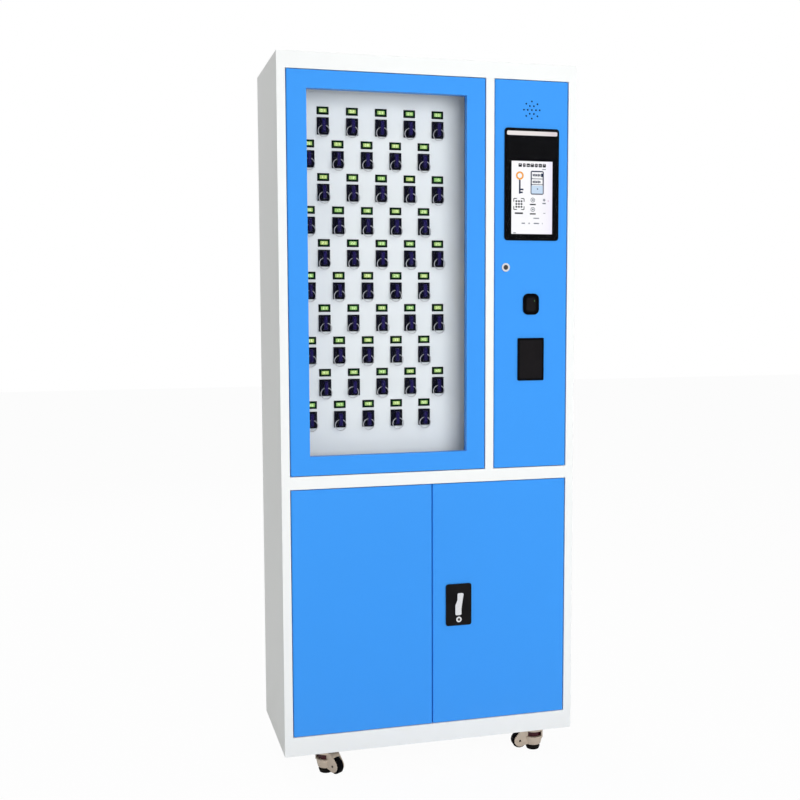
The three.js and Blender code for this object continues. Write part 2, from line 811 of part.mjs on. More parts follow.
function camLockBody() {
  const centre = camLockCentre();
  const body = levelRod(camLockFlange, centre, [front - 3, front - gap])
    .add(levelRod(camLockBarrel, centre, [front - 1, camFront - gap]))
    .subtract(levelRod(camLockPlug + gap, centre, [front - 4, camFront]));
  return piece('cam_lock_body', body, paint.chrome);
}

// The plug turns in the body; its cam hangs straight down when unlocked.
function camLockPlugAndCam() {
  const [x, z] = camLockCentre();
  const cam = roundedRectangle(x - camWidth / 2, x + camWidth / 2, z - camLength, z + camWidth / 2, 5);
  const plug = levelRod(camLockPlug, [x, z], [front - 3.5, camFront + camThickness])
    .add(facing(cam, [camFront, camFront + camThickness]))
    .subtract(keySlit([x, z], front - 3.5));
  return piece('cam_lock_plug', plug, paint.chrome);
}

// ---------------------------------------------------------------- cupboard doors and latch
const latchX = [latchFromSeam, latchFromSeam + latchSize.width];
const latchCentre = [(latchX[0] + latchX[1]) / 2, latchHeight + latchSize.height / 2];
const leverCentre = [latchCentre[0], latchCentre[1] + 3];
const keyCylinderCentre = [latchCentre[0], latchHeight + keyCylinderAboveEdge];
const rodY = front + frameDepth + rodBehindLip + rodRadius;
const rodTravelSpan = {
  top: cupboardTop - stopLip - rodRest,
  bottom: cupboardBottom + stopLip + rodRest,
};

function guideZ() {
  const { z } = doorSpan(doors.cupboardRight);
  return [
    [z[1] - doorFlange + 1, z[1] - doorFlange + 1 + guideHeight],
    [z[0] + doorFlange - 1 - guideHeight, z[0] + doorFlange - 1],
  ];
}

function lowerLeftDoor() {
  return piece('lower_left_door', doorPan(doors.cupboardLeft), paint.blue);
}

function lowerRightDoor() {
  const skin = [front - 1, front + sheet + 1];
  const cutout = roundedBlock(...latchCentre, latchSize, skin, flangeOverlap - gap);
  let door = doorPan(doors.cupboardRight).subtract(cutout);
  for (const z of guideZ()) {
    const x = [leverCentre[0] - guideHalf, leverCentre[0] + guideHalf];
    const guide = block(x, [doorBack - sheet, rodY + rodRadius + 3], z);
    const bore = uprightRod(rodRadius + gap, [leverCentre[0], rodY], grown(z, 1), 16);
    door = door.add(guide).subtract(bore);
  }
  return piece('lower_right_door', door, paint.blue);
}

function latchPlate() {
  const plate = roundedBlock(...latchCentre, latchSize, [front - fittingProud, front - gap])
    .add(roundedBlock(...latchCentre, latchSize, [front - 1, front + latchSize.depth], flangeOverlap))
    .subtract(levelRod(leverShaft + gap, leverCentre, [front - 5, front + latchSize.depth + 1]))
    .subtract(levelRod(
      keyCylinderRadius + gap,
      keyCylinderCentre,
      [front - 5, front + latchSize.depth - 4],
    ));
  return piece('latch_plate', plate, paint.black);
}

// An S-shaped lever: its upper half sits to the right of the shaft and its lower half to the left.
function leverOutline() {
  const [x, z] = leverCentre;
  const outline = new THREE.Shape();
  const [inner, outer] = [leverHalfWidth - leverShift, leverHalfWidth + leverShift];
  const end = leverHalfLength - leverCorner;
  for (const turn of [1, -1]) {
    const [right, left] = [x + turn * outer, x - turn * inner];
    const [start, half] = turn > 0 ? [0, Math.PI / 2] : [Math.PI, 1.5 * Math.PI];
    outline[turn > 0 ? 'moveTo' : 'lineTo'](right, z + turn * leverStep.from);
    outline.absarc(right - turn * leverCorner, z + turn * end, leverCorner, start, half, false);
    outline.absarc(left + turn * leverCorner, z + turn * end, leverCorner, half, half + Math.PI / 2, false);
    outline.lineTo(left, z + turn * leverStep.to);
  }
  return outline;
}

function latchLever() {
  const y0 = front - fittingProud - gap - leverThickness;
  const crankY = rodY - rodRadius - gap - crankThickness;
  const lever = facing(leverOutline(), [y0, y0 + leverThickness])
    .add(levelRod(leverShaft, leverCentre, [y0 + 1, crankY + crankThickness]))
    .add(levelRod(crankRadius, leverCentre, [crankY, crankY + crankThickness]));
  return piece('latch_lever', lever, paint.chrome);
}

function latchKeyCylinder() {
  const y0 = front - fittingProud - 1;
  const plug = levelRod(keyCylinderRadius, keyCylinderCentre, [y0, front + latchSize.depth - 5])
    .subtract(keySlit(keyCylinderCentre, y0));
  return piece('latch_key_cylinder', plug, paint.chrome);
}

function lockRod(name, [z0, z1]) {
  return piece(name, uprightRod(rodRadius, [leverCentre[0], rodY], [z0, z1], 16), paint.zinc);
}

// ---------------------------------------------------------------- levelling casters
const cupHollow = padNeck + cupPlay;
const cupRadius = cupHollow + cupWall;
const deckRadius = thumbRadius + thumbPlay + webWall;
const pocketHalf = wheelWidth / 2 + wheelPlay;
const cheekHalf = pocketHalf + cheekThickness;

function casterTopPlate() {
  const half = casterPlate.size / 2;
  const top = casterHeight - gap;
  const bottom = top - casterPlate.thickness;
  return block([-half, half], [-half, half], [bottom, top])
    .add(uprightRod(casterPlate.race, [0, 0], [deckTop + gap, bottom + 1]));
}

function casterCheekProfile() {
  const inner = 10;
  const aboveCup = 2.5;
  const shoulder = 6;
  const lowest = -0.72 * Math.PI;
  const profile = new THREE.Shape();
  profile.moveTo(inner, deckTop);
  profile.lineTo(inner, cupBottom + aboveCup);
  profile.absarc(wheelOffset, wheelZ, wheelRadius - cheekInset, lowest, 0.2 * Math.PI, false);
  profile.lineTo(wheelOffset - shoulder, deckTop);
  return profile;
}

function casterHousing() {
  const webInner = deckRadius - 9;
  const webBelowThumb = 6;
  const stemBore = stemRadius + 0.6;
  const wheelPocket = wheelRadius + 2;
  const cup = turned([
    [0, cupBottom], [cupRadius, cupBottom], [deckRadius - 0.5, thumbFloor], [0, thumbFloor],
  ]);
  const deck = uprightRod(deckRadius, [0, 0], [thumbCeiling, deckTop]);
  const web = uprightRod(deckRadius, [0, 0], [thumbFloor - webBelowThumb, deckTop - 1])
    .intersect(block([-deckRadius - 1, -webInner], [-deckRadius, deckRadius], [0, casterHeight]));
  return cup
    .add(deck)
    .add(web)
    .add(facing(casterCheekProfile(), [-cheekHalf, cheekHalf], 3))
    .subtract(uprightRod(thumbRadius + thumbPlay, [0, 0], [thumbFloor, thumbCeiling]))
    .subtract(uprightRod(cupHollow, [0, 0], [cupBottom - 1, cupBottom + cupHollowDepth]))
    .subtract(uprightRod(stemBore, [0, 0], [cupBottom, deckTop + 1], 16))
    .subtract(levelRod(wheelPocket, [wheelOffset, wheelZ], [-pocketHalf, pocketHalf]))
    .subtract(levelRod(axleRadius + gap, [wheelOffset, wheelZ], grown([-cheekHalf, cheekHalf], 1), 12));
}

// The wheel and its axle turn together in the cheeks.
function casterWheel() {
  const half = wheelWidth / 2;
  const tread = 2;
  const wheel = turned([
    [0, -half], [wheelRadius - tread, -half], [wheelRadius, -half + tread],
    [wheelRadius, half - tread], [wheelRadius - tread, half], [0, half],
  ]).rotate([90, 0, 0]);
  return wheel.translate([wheelOffset, 0, wheelZ])
    .add(levelRod(axleRadius, [wheelOffset, wheelZ], [-cheekHalf, cheekHalf], 12));
}

function casterFoot() {
  return turned([
    [0, 0], [padTread, 0], [padRadius, padHeight - 1], [padRadius, padHeight], [padNeck, padHeight + 1],
    [padNeck, padNeckTop], [stemRadius, padNeckTop + 1.5], [stemRadius, stemTop], [0, stemTop],
  ]);
}

function casterThumbWheel() {
  const outline = new THREE.Shape();
  const valley = thumbRadius - 1.4;
  const steps = thumbRibs * 4;
  for (let i = 0; i < steps; i += 1) {
    const radius = i % 4 < 2 ? thumbRadius : valley;
    const angle = (2 * Math.PI * i) / steps;
    const [x, y] = [radius * Math.cos(angle), radius * Math.sin(angle)];
    if (i === 0) {
      outline.moveTo(x, y);
    } else {
      outline.lineTo(x, y);
    }
  }
  const geometry = extruded(outline, thumbTop - thumbBottom);
  geometry.translate(0, 0, thumbBottom);
  const bore = uprightRod(stemRadius + 0.4, [0, 0], [thumbBottom - 1, thumbTop + 1], 12);
  return toSolid(geometry).subtract(bore);
}

function caster(place, x, y) {
  const swivel = new THREE.Group();
  swivel.position.set(x, y, 0);
  swivel.rotation.z = THREE.MathUtils.degToRad(casterTurn[place]);
  swivel.add(
    piece(`caster_${place}_housing`, casterHousing(), paint.beige),
    piece(`caster_${place}_wheel`, casterWheel(), paint.black),
    piece(`caster_${place}_foot`, casterFoot(), paint.rubber),
    piece(`caster_${place}_thumb_wheel`, casterThumbWheel(), paint.red),
  );
  const plate = piece(`caster_${place}_plate`, casterTopPlate(), paint.zinc);
  plate.position.set(x, y, 0);
  const group = new THREE.Group();
  group.add(plate, swivel);
  return group;
}

// ---------------------------------------------------------------- assembly
function carcass() {
  const group = new THREE.Group();
  group.add(
    frontFrame(),
    sidePanel('left_side_panel', -1),
    sidePanel('right_side_panel', 1),
    topPanel(),
    baseBox(),
    backPanel(),
    middleShelf(),
    partition(),
    cupboardShelf(),
    powerSupply(),
    powerInlet(),
  );
  return group;
}

function keySlots() {
  const group = new THREE.Group();
  group.add(keyPanel());
  for (let index = 0; index < slotRows / 2; index += 1) {
    group.add(keyBoard(index));
  }
  group.add(...fobPlaces.map(keyFob));
  return group;
}

function glazedDoorAssembly() {
  const group = new THREE.Group();
  group.add(glazedDoor(), doorGlass(), glassGasket(), doorStriker(), electricLock());
  return group;
}

function controlDoorAssembly() {
  const group = new THREE.Group();
  group.add(
    controlDoor(),
    terminalHousing(),
    terminalGlass(),
    speaker(),
    fingerprintReader(),
    cardReader(),
    camLockBody(),
    camLockPlugAndCam(),
  );
  return group;
}

function cupboardDoors() {
  const hub = leverCentre[1];
  const group = new THREE.Group();
  group.add(
    lowerLeftDoor(),
    lowerRightDoor(),
    latchPlate(),
    latchLever(),
    latchKeyCylinder(),
    lockRod('upper_lock_rod', [hub + rodHubClearance, rodTravelSpan.top]),
    lockRod('lower_lock_rod', [rodTravelSpan.bottom, hub - rodHubClearance]),
  );
  return group;
}

function casters() {
  const left = -halfWidth + casterInsetLeft;
  const right = halfWidth - casterInsetRight;
  const frontY = front + casterInsetFront;
  const rearY = back - casterInsetFront;
  const group = new THREE.Group();
  group.add(
    caster('front_left', left, frontY),
    caster('front_right', right, frontY),
    caster('rear_left', left, rearY),
    caster('rear_right', right, rearY),
  );
  return group;
}

const cabinet = new THREE.Group();
const body = new THREE.Group();
body.position.z = casterHeight;
body.add(carcass(), keySlots(), glazedDoorAssembly(), controlDoorAssembly(), cupboardDoors());
cabinet.add(body, casters());

export default cabinet;
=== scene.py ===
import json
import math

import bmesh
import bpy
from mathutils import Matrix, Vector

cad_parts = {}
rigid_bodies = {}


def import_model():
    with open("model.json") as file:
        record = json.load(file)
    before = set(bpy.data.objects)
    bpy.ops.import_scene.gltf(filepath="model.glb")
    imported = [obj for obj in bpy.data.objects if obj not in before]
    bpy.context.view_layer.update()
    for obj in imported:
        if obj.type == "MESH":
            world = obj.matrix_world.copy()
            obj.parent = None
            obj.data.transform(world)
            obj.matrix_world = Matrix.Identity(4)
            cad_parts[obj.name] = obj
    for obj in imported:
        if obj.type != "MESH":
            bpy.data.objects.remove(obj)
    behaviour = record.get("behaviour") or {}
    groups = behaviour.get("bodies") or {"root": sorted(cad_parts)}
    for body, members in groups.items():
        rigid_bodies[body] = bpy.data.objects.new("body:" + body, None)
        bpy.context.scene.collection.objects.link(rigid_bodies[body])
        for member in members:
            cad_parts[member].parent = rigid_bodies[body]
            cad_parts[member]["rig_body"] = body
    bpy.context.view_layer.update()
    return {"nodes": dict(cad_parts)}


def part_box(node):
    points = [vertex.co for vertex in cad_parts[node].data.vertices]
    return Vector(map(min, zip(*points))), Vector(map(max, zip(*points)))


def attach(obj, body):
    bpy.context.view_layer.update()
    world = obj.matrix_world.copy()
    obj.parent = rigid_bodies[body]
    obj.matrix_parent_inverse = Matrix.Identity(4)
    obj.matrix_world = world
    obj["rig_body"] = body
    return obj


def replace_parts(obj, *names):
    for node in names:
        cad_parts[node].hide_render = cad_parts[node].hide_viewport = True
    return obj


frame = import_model()

# %% [markdown]
# # A key cabinet with a glazed door
#
# The object is a steel cabinet 0.8 m wide, 0.35 m deep and 1.8 m high on four levelling casters.
# Behind a glazed door it keeps fifty electronic keys, each in a socket with a small lit display. A
# narrow door beside it carries a touch terminal, a fingerprint reader and a card reader, and two
# doors close the cupboard below. The CAD model gives every size, and this script gives the looks. All
# lengths are metres and the front faces -Y.

MM = 0.001
nodes = frame["nodes"]

# %% [markdown]
# ## Camera
#
# The cabinet is seen from a little to the left of its middle, at about two thirds of its height, with
# the camera tipped slightly down. A Track To constraint could aim it, but three angles say the same
# in one place and keep the slight roll too: the camera turns to the side, lies down to its view and
# rolls about its own axis. The lens follows from the focal length in sensor widths.

# %% Camera
CAMERA_PLACE = (-0.8186, -2.9401, 1.2397)
YAW, PITCH, ROLL = (math.radians(angle) for angle in (14.815, 4.913, -0.216))
FOCAL_IN_SENSORS = 1.3794
FARTHEST_SEEN = 60


def linked(name, data):
    """A new object in the scene."""
    made = bpy.data.objects.new(name, data)
    bpy.context.scene.collection.objects.link(made)
    return made


camera = linked("camera", bpy.data.cameras.new("camera"))
camera.matrix_world = Matrix.Translation(CAMERA_PLACE)
for angle, axis in ((-YAW, "Z"), (math.pi / 2 - PITCH, "X"), (ROLL, "Z")):
    camera.matrix_world @= Matrix.Rotation(angle, 4, axis)
camera.data.lens = FOCAL_IN_SENSORS * camera.data.sensor_width
camera.data.clip_end = FARTHEST_SEEN
bpy.context.scene.camera = camera
print("camera lens", round(camera.data.lens, 2), "mm at", CAMERA_PLACE)

# %% [markdown]
# ## A socket that does sums
#
# Shader and geometry nodes do arithmetic with Math nodes, which are slow to read as a list of links.
# One small class wraps an output socket, so that an ordinary expression such as 1 - mask * 0.3 adds
# the nodes. Every other node comes from one method that takes the node's type, the values or links of
# its inputs, and its settings by name.

# %% Sockets as values
class Wire:
    """One output socket of a node. Arithmetic on it adds Math nodes to its tree."""

    def __init__(self, owner, socket):
        self.owner = owner
        self.socket = socket

    def sum_node(self, operation, *values):
        return self.owner.add("ShaderNodeMath", dict(enumerate(values)), operation=operation)[0]

    def floor(self):
        return self.sum_node("FLOOR", self)

    def clamp(self):
        return self.sum_node("MINIMUM", self.sum_node("MAXIMUM", self, 0.0), 1.0)


def operator_node(operation, swapped):
    def act(self, other):
        pair = (other, self) if swapped else (self, other)
        return self.sum_node(operation, *pair)
    return act


OPERATORS = {
    "add": "ADD", "radd": "ADD", "sub": "SUBTRACT", "rsub": "SUBTRACT", "mul": "MULTIPLY",
    "rmul": "MULTIPLY", "truediv": "DIVIDE", "mod": "FLOORED_MODULO", "pow": "POWER",
    "gt": "GREATER_THAN",
}
for sign, operation in OPERATORS.items():
    setattr(Wire, f"__{sign}__", operator_node(operation, sign.startswith("r")))


class Outputs:
    """A node's outputs, by name or number."""

    def __init__(self, owner, node):
        self.owner = owner
        self.node = node

    def __getitem__(self, key):
        return Wire(self.owner, self.node.outputs[key])


class Nodes:
    """Adds nodes to one tree."""

    def __init__(self, tree):
        self.tree = tree

    def feed(self, socket, value):
        if isinstance(value, Wire):
            self.tree.links.new(value.socket, socket)
        else:
            socket.default_value = value

    def add(self, kind, inputs=None, **settings):
        node = self.tree.nodes.new(kind)
        for name, value in settings.items():
            setattr(node, name, value)
        for name, value in (inputs or {}).items():
            self.feed(node.inputs[name], value)
        return Outputs(self, node)

    def mix(self, share, first, second):
        """A colour between two colours. The Mix node's colour sockets are numbers 6 and 7."""
        return self.add("ShaderNodeMix", {0: share, 6: first, 7: second}, data_type="RGBA")[2]


print(len(OPERATORS), "operators add Math nodes")

# %% [markdown]
# ## Finishes
#
# A finish is a material with one Principled shader. What is the same all over the surface goes
# straight onto the shader's sockets, and only colour, roughness, emission, alpha and the normal take
# patterns. These read Object coordinates, which are the cabinet's own metres, because every piece
# sits at the origin with its place in its mesh.

# %% A finish
def srgb(red, green, blue):
    """A colour written in screen values of 0 to 255, as the shader wants it."""
    def linear(value):
        share = value / 255
        return share / 12.92 if share <= 0.04045 else ((share + 0.055) / 1.055) ** 2.4

    return linear(red), linear(green), linear(blue), 1.0


def shade(colour, factor):
    return tuple(min(1.0, value * factor) for value in colour[:3]) + (1.0,)


class Finish(Nodes):
    """A material with one Principled shader."""

    def __init__(self, name, **fixed):
        self.material = bpy.data.materials.new(name)
        self.material.use_nodes = True
        super().__init__(self.material.node_tree)
        self.shader = self.tree.nodes["Principled BSDF"]
        for words, value in fixed.items():
            self.shader.inputs[words.replace("_", " ")].default_value = value
        self.place = self.add("ShaderNodeTexCoord")["Object"]

    def to_shader(self, **wires):
        for words, value in wires.items():
            self.feed(self.shader.inputs[words.replace("_", " ")], value)

    def noise(self, scale, detail=2.0, stretch=(1, 1, 1)):
        """Soft noise from 0 to 1, with scale bumps to the metre, stretched by direction."""
        stretched = self.add("ShaderNodeMapping", {"Vector": self.place, "Scale": stretch})[0]
        return self.add("ShaderNodeTexNoise", {"Vector": stretched, "Scale": scale, "Detail": detail})[0]

    def height(self):
        return self.add("ShaderNodeSeparateXYZ", {0: self.place})["Z"]

    def attribute(self, name):
        return self.add("ShaderNodeAttribute", attribute_name=name)["Fac"]

    def bump(self, height, distance, strength=1.0):
        """Feeds the shader's normal from a height, where distance is its depth in metres."""
        inputs = {"Height": height, "Distance": distance, "Strength": strength}
        self.to_shader(Normal=self.add("ShaderNodeBump", inputs)["Normal"])


print("white paint is", [round(v, 3) for v in srgb(247, 249, 247)[:3]], "in linear values")

# %% [markdown]
# ### Powder coat
#
# All sheet steel here is powder coated. The baked powder leaves a fine orange peel, its gloss changes
# a little over a panel, dust collects near the floor, and folded edges are painted lighter, partly as
# worn paint and partly as a painted highlight. The edge mask is a face attribute that the bevels write
# later on, so the worn paint and the painted highlight sit exactly on the edges, where a curvature node
# would depend on the mesh density.

# %% Powder coat
DUST = srgb(139, 134, 126)


def powder_coat(name, colour, roughness=0.36, dust=0.10, edge_wear_and_highlight=0.5, specular=0.4):
    coat = Finish(name, Specular_IOR_Level=specular)
    drift = coat.noise(2.1, detail=3.0)
    speck = coat.noise(310.0)
    scuff = (coat.noise(46.0, detail=5.0, stretch=(1, 1, 0.16)) - 0.66).clamp() * 5.0
    near_floor = (1 - coat.height() / 0.42).clamp()
    dusty = (near_floor ** 2.0) * coat.noise(17.0, detail=5.0) * dust + near_floor ** 6.0 * dust * 0.5
    # Edge faces painted lighter: partly worn paint, partly a painted highlight along the folds.
    worn_and_highlit_edges = (coat.attribute("edge") * (coat.noise(120.0, detail=4.0) * 1.7 - 0.35)).clamp()
    base = coat.mix(drift, shade(colour, 0.965), shade(colour, 1.025))
    base = coat.mix(speck * 0.05, base, shade(colour, 0.8))
    base = coat.mix(dusty.clamp(), base, DUST)
    base = coat.mix(worn_and_highlit_edges * edge_wear_and_highlight, base, coat.mix(0.5, shade(colour, 1.15), srgb(205, 208, 210)))
    dull = drift * 0.1 + speck * 0.06 + scuff * 0.08 + dusty * 0.7 - worn_and_highlit_edges * 0.1 + roughness
    coat.to_shader(Base_Color=base, Roughness=dull.clamp())
    peel = coat.noise(620.0) * 0.7 + coat.noise(240.0, detail=1.0) * 0.3
    coat.bump(peel, 0.00009, 0.55)
    return coat.material


white_paint = powder_coat("white_powder_coat", srgb(244, 246, 245), edge_wear_and_highlight=0.25)
grey_paint = powder_coat("grey_powder_coat", srgb(226, 228, 226), roughness=0.42, edge_wear_and_highlight=0.3)
blue_paint = powder_coat(
    "blue_powder_coat", srgb(59, 154, 246), roughness=0.33, dust=0.06, edge_wear_and_highlight=0.35, specular=0.2,
)
panel_paint = powder_coat("panel_powder_coat", srgb(244, 250, 255), roughness=0.5, dust=0.0)
print("powder coats: white, grey, blue and the key panel's")

# %% [markdown]
# ### Plastics and rubber
#
# Moulded black plastic has a sandblasted grain, the terminal and the card reader are polished, and
# rubber is matt with dust in its pores. They share one recipe with different numbers: a grain bump, a
# slow change in roughness and a little dust.

# %% Plastics and rubber
def moulded(name, colour, roughness, grain, depth, specular, dust=0.1):
    """Plastic or rubber with grain bumps to the metre, each of a depth in metres."""
    skin = Finish(name, Specular_IOR_Level=specular)
    drift = skin.noise(24.0, detail=4.0)
    fine = skin.noise(grain, detail=3.0)
    film = (drift * fine * 2.0 - 0.35).clamp() * dust
    # Edge faces painted lighter with a dusty tint: partly worn plastic, partly a painted highlight.
    worn_and_highlit_edges = (skin.attribute("edge") * (skin.noise(300.0, detail=3.0) * 1.6 - 0.3)).clamp()
    base = skin.mix(drift, shade(colour, 0.8), shade(colour, 1.2))
    base = skin.mix(film, base, DUST)
    base = skin.mix(worn_and_highlit_edges * 0.35, base, skin.mix(0.25, shade(colour, 1.8), DUST))
    dull = drift * 0.12 + film * 0.8 - worn_and_highlit_edges * 0.12 + roughness
    skin.to_shader(Base_Color=base, Roughness=dull.clamp())
    skin.bump(fine, depth, 0.5)
    return skin.material


black_plastic = moulded("black_moulding", srgb(3, 3, 6), 0.4, 1500.0, 0.00003, 0.02, 0.015)
gloss_black = moulded("polished_black", srgb(5, 5, 8), 0.08, 300.0, 0.000004, 0.03, 0.01)
latch_black = moulded("latch_black", srgb(17, 15, 16), 0.36, 900.0, 0.00005, 0.06, 0.04)
black_rubber = moulded("soft_rubber", srgb(14, 12, 11), 0.72, 700.0, 0.0001, 0.05, 0.08)
violet_plastic = moulded("violet_moulding", srgb(27, 18, 80), 0.3, 500.0, 0.00002, 0.08, 0.01)
navy_plastic = moulded("navy_moulding", srgb(8, 7, 26), 0.38, 1200.0, 0.00005, 0.04, 0.02)
dark_red_plastic = moulded("dark_red_plastic", srgb(58, 9, 20), 0.3, 800.0, 0.00006, 0.25, 0.05)
smoked_plastic = moulded("smoked_plastic", srgb(22, 20, 22), 0.12, 200.0, 0.000004, 0.05, 0.02)
print("eight plastics and rubbers")

# %% [markdown]
# ### Metals
#
# The lever and the key rings are plated bright, the lock plugs are darker steel, the hidden fittings
# are zinc plated, and the casters' housings are castings lacquered beige. Plated steel shows fine
# lines, and a casting a sandy bump.

# %% Metals
def plated(name, colour, roughness, tarnish, stretch=(1, 1, 1), bump=0.00002):
    plate = Finish(name, Metallic=1.0)
    drift = plate.noise(60.0, detail=5.0)
    lines = plate.noise(420.0, detail=3.0, stretch=stretch)
    stained = (drift * 1.8 - 0.75).clamp() * tarnish
    base = plate.mix(drift, shade(colour, 0.93), shade(colour, 1.04))
    base = plate.mix(stained, base, shade(colour, 0.55))
    plate.to_shader(Base_Color=base, Roughness=(lines * 0.14 + stained * 0.4 + roughness).clamp())
    plate.bump(lines, bump, 0.4)
    return plate.material


chrome = plated("chrome_plate", srgb(226, 227, 230), 0.1, 0.12, bump=0.000006)
ring_steel = plated("ring_steel", srgb(216, 217, 222), 0.22, 0.2)
zinc = plated("zinc_plate", srgb(196, 199, 202), 0.3, 0.45, stretch=(1, 1, 0.1))
dark_steel = plated("dark_steel", srgb(88, 84, 82), 0.35, 0.5)


def lacquered_casting(name, colour):
    casting = Finish(name, Metallic=0.25, Specular_IOR_Level=0.5)
    drift = casting.noise(55.0, detail=5.0)
    sand = casting.noise(1300.0)
    # Edge faces painted lighter: partly worn lacquer, partly a painted highlight.
    worn_and_highlit_edges = (casting.attribute("edge") * (drift * 1.9 - 0.3)).clamp()
    base = casting.mix(drift, shade(colour, 0.86), shade(colour, 1.1))
    base = casting.mix((1 - casting.height() / 0.05).clamp() * drift * 0.5, base, srgb(122, 108, 96))
    base = casting.mix(worn_and_highlit_edges * 0.55, base, srgb(222, 216, 208))
    casting.to_shader(Base_Color=base, Roughness=(sand * 0.15 - worn_and_highlit_edges * 0.15 + 0.36).clamp())
    casting.bump(sand, 0.00007, 0.6)
    return casting.material


beige_casting = lacquered_casting("beige_casting", srgb(196, 181, 164))
print("metals: chrome, key ring steel, zinc, dark steel, beige casting")

# %% [markdown]
# ### Glass, circuit board and lit screens
#
# A pane of float glass is nearly invisible from the front and mirrors more at a slant. A refracting
# shader would keep the lamps from the key panel behind it, so the pane is a glossy shader with a low
# alpha that rises with the slant. Layer Weight's Facing output gives the slant, because Fresnel takes
# the pane's far side for the inside of a solid block and turns it opaque. Lit screens are plain
# emission at or under strength one, so that they show their own colour. Each display's tone differs a
# little, by a random number stored with every copy.

# %% Glass, circuit board and screens
def pane_glass(name, tint, least):
    glass = Finish(name, Roughness=0.03, Specular_IOR_Level=0.5)
    slant = glass.add("ShaderNodeLayerWeight", {"Blend": 0.5})["Facing"]
    smear = (glass.noise(9.0, detail=5.0) - 0.52).clamp() * 0.05
    solid = (slant ** 3.0 * 0.6 + smear + least).clamp()
    glass.to_shader(Base_Color=glass.mix(smear, tint, DUST), Alpha=solid)
    glass.material.surface_render_method = "DITHERED"
    return glass.material


def solder_mask(name):
    board = Finish(name, Specular_IOR_Level=0.5)
    inputs = {"Vector": board.place, "Scale": 240.0, "Mortar Size": 0.03}
    tracks = board.add("ShaderNodeTexBrick", inputs)["Fac"]
    fine = board.noise(900.0)
    lacquer = board.mix(tracks * 0.6, srgb(14, 14, 24), srgb(24, 40, 34))
    board.to_shader(Base_Color=lacquer, Roughness=fine * 0.2 + 0.32)
    board.bump(tracks + fine * 0.3, 0.00003)
    return board.material


def lit_display(name):
    lit = Finish(name, Roughness=0.25, Specular_IOR_Level=0.1, Emission_Strength=0.74)
    tone = lit.attribute("tone")
    glow = lit.mix(tone, srgb(198, 222, 116), srgb(140, 216, 106))
    cloud = lit.noise(160.0, detail=1.0)
    lit.to_shader(
        Base_Color=lit.mix(tone, srgb(60, 70, 30), srgb(40, 70, 34)),
        Emission_Color=lit.mix(cloud * 0.45, glow, srgb(236, 246, 196)),
    )
    return lit.material


clear_glass = pane_glass("float_glass", srgb(60, 72, 74), 0.02)
cover_glass = pane_glass("cover_glass", srgb(12, 13, 16), 0.03)
circuit_board = solder_mask("board_mask")
display_green = lit_display("display_green")
# A dark green plate round each lit window: painted glow of the display spilling onto the black bezel.
display_surround = moulded("display_surround", srgb(10, 58, 26), 0.25, 300.0, 0.00001, 0.05, 0.01)
print("glass, circuit board and lit displays")

# %% [markdown]
# ## Stage and lamps
#
# The cabinet stands on a plain pale floor in soft studio light. One large lamp in front and to the
# right gives the main light, weaker ones open up the left, the back and the top, and an even world
# fills the rest, so that the left side stays the darker one. Gloss doesn't see the lamps, because a
# lamp's mirror image would grey the black fittings. The background is white for rays from the camera
# and for rays that glass and metal send on, and the floor keeps a faint shadow.

# %% Stage and lamps
WORLD_FILL = 0.37
WHITE = (1, 1, 1, 1)
FLOOR_HALF = 14.0
FLOOR_GLOW = 0.96  # the share of seen floor that is plain white, and the rest shows the shadow
LAMPS = (
    # name, place, target, width and height, watts
    ("key_lamp", (1.0, -4.6, 2.1), (0.0, -0.1, 1.0), (3.4, 3.2), 133.0),
    ("left_lamp", (-3.4, -2.2, 1.6), (0.0, 0.0, 0.9), (1.6, 2.4), 9.5),
    ("back_lamp", (-1.2, 3.6, 2.8), (0.0, 0.1, 1.0), (2.4, 2.0), 38.0),
    ("top_lamp", (0.0, 0.3, 4.4), (0.0, 0.2, 1.8), (2.6, 2.0), 26.0),
)


def seen_white(tree, dull, bright, output, share=1.0):
    """Ends a tree that shows the bright shader to the camera, gloss and glass, and else the dull one."""
    tree.nodes.clear()
    own = Nodes(tree)
    path = own.add("ShaderNodeLightPath")
    seen = (path["Is Camera Ray"] + path["Is Glossy Ray"] + path["Is Transmission Ray"]).clamp()
    shaders = {1: own.add(*dull)[0], 2: own.add(bright, {"Color": WHITE, "Strength": 1.0})[0]}
    own.add(output, {"Surface": own.add("ShaderNodeMixShader", {0: seen * share, **shaders})[0]})


world = bpy.data.worlds.new("studio")
world.use_nodes = True
bpy.context.scene.world = world
fill = "ShaderNodeBackground", {"Color": WHITE, "Strength": WORLD_FILL}
seen_white(world.node_tree, fill, "ShaderNodeBackground", "ShaderNodeOutputWorld")

for name, place, target, size, watts in LAMPS:
    light = bpy.data.lights.new(name, "AREA")
    light.shape = "RECTANGLE"
    light.size, light.size_y = size
    light.energy = watts
    lamp = linked(name, light)
    lamp.location = place
    lamp.rotation_euler = (Vector(target) - Vector(place)).to_track_quat("-Z", "Y").to_euler()
    lamp.visible_glossy = False

floor_mesh = bpy.data.meshes.new("floor")
corners = [(x * FLOOR_HALF, y * FLOOR_HALF, 0) for x, y in ((-1, -1), (1, -1), (1, 1), (-1, 1))]
floor_mesh.from_pydata(corners, [], [(0, 1, 2, 3)])
floor = linked("floor", floor_mesh)
floor_paint = bpy.data.materials.new("pale_floor")
floor_paint.use_nodes = True
matt = "ShaderNodeBsdfDiffuse", {"Color": (0.88, 0.88, 0.88, 1)}
seen_white(floor_paint.node_tree, matt, "ShaderNodeEmission", "ShaderNodeOutputMaterial", FLOOR_GLOW)
floor_mesh.materials.append(floor_paint)
bpy.context.scene.view_settings.view_transform = "Standard"
print("stage:", len(LAMPS), "lamps and a floor")

